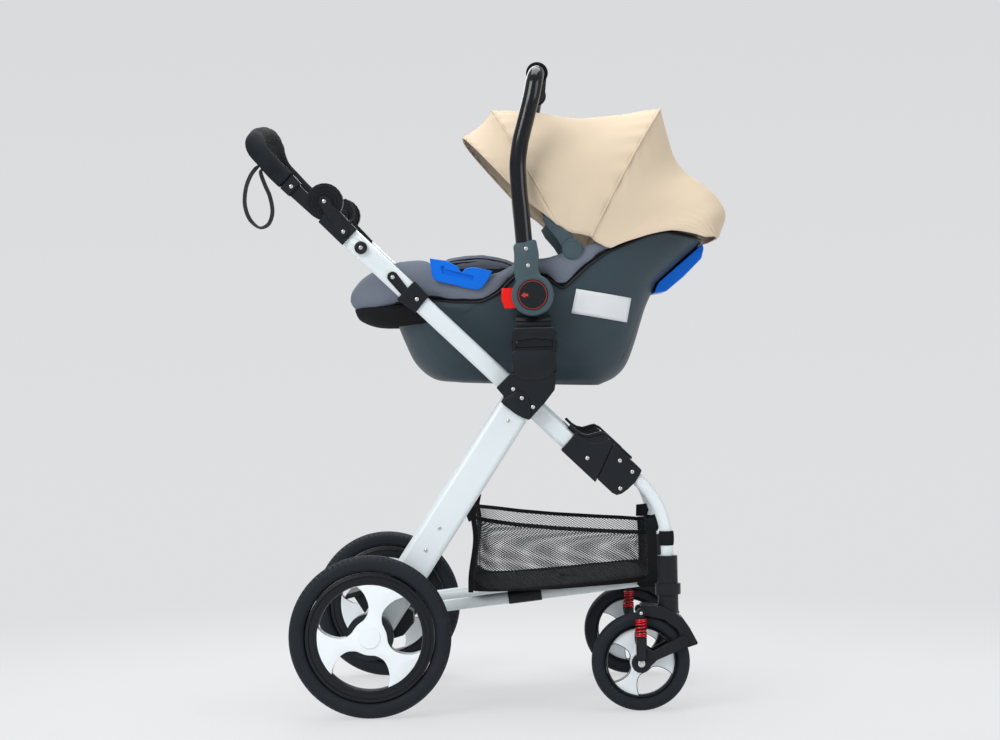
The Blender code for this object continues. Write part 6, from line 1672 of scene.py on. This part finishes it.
class STROLLER_OT_fasteners(bpy.types.Operator):
    """Screw heads, the tube's knobs and small trims"""

    bl_idname = "stroller.fasteners"
    bl_label = "Fasteners and trims"

    def execute(self, context):
        tube = [(-0.254, 0.0010, 0.2396), (-0.312, 0.0, 0.2381), (-0.430, -0.0005, 0.2434), (0.157, 0.0010, 0.2396)]
        spots = [(*on_tube(along, across), y) for along, across, y in tube]
        spots += [(0.053, 0.554, 0.2662), (0.0381, 0.5699, 0.2636), (0.0722, 0.5378, 0.2636)]
        spots += [(*on_tube(-0.3885, 0.0), 0.2428), (*on_tube(-0.4915, 0.0155), 0.2434)]
        knee = [(*on_tube(along, across), 0.2396) for along, across in ((0.202, 0.037), (0.2315, 0.0375))]
        groups = {
            "frame": spots,
            "front_frame": knee + [(0.2233, 0.3905, 0.2396)],
            "rear_frame": [(0.029, 0.5147, 0.2596), (-0.0959, 0.3286, 0.2596), (-0.1205, 0.2899, 0.2596)],
            "handle": [(*on_tube(-0.552, -0.005), 0.2396)],
            "carry_handle": [(0.0658, 0.8166, 0.2479), (0.0688, 0.7870, 0.2479)],
        }
        for body, spots in groups.items():
            form = Form()
            for side in (RIGHT, LEFT):
                for x, z, y in spots:
                    screw_head(form, (x, side * y, z), side)
            form.build("screws_" + body, body, "screw_steel", "white_coat", 30.0, outwards=False)
        for side, word in SIDES:
            self.caster_bolts(side, word)
        self.knobs()
        self.reliefs()
        return {"FINISHED"}

    def reliefs(self):
        """Raised pad, window bead and boss on the seat adapters and hubs, and the cheek under the fold lever."""
        pad = [(0.0395, 0.6362), (0.0755, 0.6372), (0.1120, 0.6350), (0.1125, 0.6100), (0.1040, 0.5915)]
        pad += [(0.0758, 0.5844), (0.0460, 0.5905), (0.0388, 0.6080)]
        boss = [(0.0180, 0.5480), (0.0320, 0.5600), (0.0462, 0.5665), (0.0570, 0.5630), (0.0640, 0.5540)]
        boss += [(0.0689, 0.5328), (0.0666, 0.5170), (0.0500, 0.5215), (0.0320, 0.5340)]
        cheek = [(0.1110, 0.0190), (0.1236, 0.0218), (0.1351, 0.0286), (0.1417, 0.0397), (0.1479, 0.0486)]
        cheek += [(0.1590, 0.0517), (0.1612, 0.0498), (0.1578, 0.0393), (0.1493, 0.0283), (0.1409, 0.0231)]
        cheek = [on_tube(*spot) for spot in cheek + [(0.1248, 0.0194)]]
        window = [(0.0405, 0.6386), (0.1130, 0.6372), (0.1130, 0.6610), (0.1030, 0.6680), (0.0520, 0.6690)]
        line = smooth_curve(window + [(0.0405, 0.6620)], 80, closed=True)
        form = Form().plates(smooth_curve(pad, 60, closed=True), 0.2580, 0.2648, 0.0012)
        form.plates(smooth_curve(boss, 60, closed=True), 0.2630, 0.2660, 0.0020)
        form.plates(cheek, 0.2095, 0.2385, 0.0006)
        for side in (RIGHT, LEFT):
            path = np.stack([line[:, 0], np.full(80, side * 0.2586), line[:, 1]], -1)
            form.loop(path, circle(0.0013, 10), (0.0, 1.0, 0.0))
        form.build("reliefs", "frame")

    def caster_bolts(self, side, word):
        """Screws over the struts and domed nuts on the front axle."""
        nut = [(0.0, 0.0), (0.0062, 0.0), (0.0062, 0.0030), (0.0050, 0.0038), (0.0030, 0.0040), (0.0026, 0.0030)]
        nut.append((0.0, 0.0030))
        form = Form()
        y = side * CASTER[1]
        for way in (RIGHT, LEFT):
            screw_head(form, (0.2533, y + way * 0.0384, 0.1748), way, 0.0030)
        form.build("screws_caster_" + word, "caster_" + word, "screw_steel", "white_coat", 30.0, outwards=False)
        form = Form()
        for way in (RIGHT, LEFT):
            centre = (FRONT_AXLE[0], y + way * 0.0330, FRONT_AXLE[1])
            form.lathe([(r, way * h) for r, h in nut], centre, 40, closed=False)
        form.build("axle_bolts_" + word, "swing_" + word, "screw_steel", "white_coat")

    def knobs(self):
        """Black caps over the sleeve tubes' round knobs and raised rings on the ratchet's plates."""
        centre = on_tube(-0.4915, 0.0155)
        rings = Form()
        for radius in (0.0140, 0.0210, 0.0280):
            ring = [(-0.0008, 0.2378), (-0.0005, 0.2387), (0.0005, 0.2387), (0.0008, 0.2378)]
            rings.turned([(radius + off, y) for off, y in ring], centre, 72, closed=True)
        rings.build("ratchet_rings", "frame")
        face = [(0.0040, 0.2432), (0.0078, 0.2436), (0.0100, 0.2428), (0.0107, 0.2410), (0.0107, 0.2356)]
        knob = Form().turned(face, on_tube(-0.3885, 0.0), 48).build("sleeve_knobs", "frame", outwards=False)
        thicken(knob, 0.0008, 1.0)


class STROLLER_PT_panel(bpy.types.Panel):
    """Lists the stroller's settings and operators"""

    bl_idname = "STROLLER_PT_panel"
    bl_label = "Stroller"
    bl_space_type = "VIEW_3D"
    bl_region_type = "UI"
    bl_category = "Stroller"

    def draw(self, context):
        for group in (chassis(), carrier(), studio()):
            box = self.layout.box()
            for key in group.__annotations__:
                box.prop(group, key)
        for step in STEPS:
            self.layout.operator(step.bl_idname)


STEPS = (
    STROLLER_OT_stage,
    STROLLER_OT_frame,
    STROLLER_OT_wheels,
    STROLLER_OT_tubes,
    STROLLER_OT_shell,
    STROLLER_OT_liner,
    STROLLER_OT_canopy,
    STROLLER_OT_basket,
    STROLLER_OT_fasteners,
)
SETTINGS = {
    "stroller_chassis": StrollerChassisSettings,
    "stroller_carrier": StrollerCarrierSettings,
    "stroller_studio": StrollerStageSettings,
}


def register():
    for made in (*SETTINGS.values(), *STEPS, STROLLER_PT_panel):
        bpy.utils.register_class(made)
    for name, kind in SETTINGS.items():
        setattr(bpy.types.Scene, name, bpy.props.PointerProperty(type=kind))


def unregister():
    for name in SETTINGS:
        delattr(bpy.types.Scene, name)
    for made in (STROLLER_PT_panel, *reversed(STEPS), *SETTINGS.values()):
        bpy.utils.unregister_class(made)


def main():
    """Makes every group of pieces in order."""
    register()
    for step in STEPS:
        group, name = step.bl_idname.split(".")
        getattr(getattr(bpy.ops, group), name)()


if __name__ == "__main__":
    main()
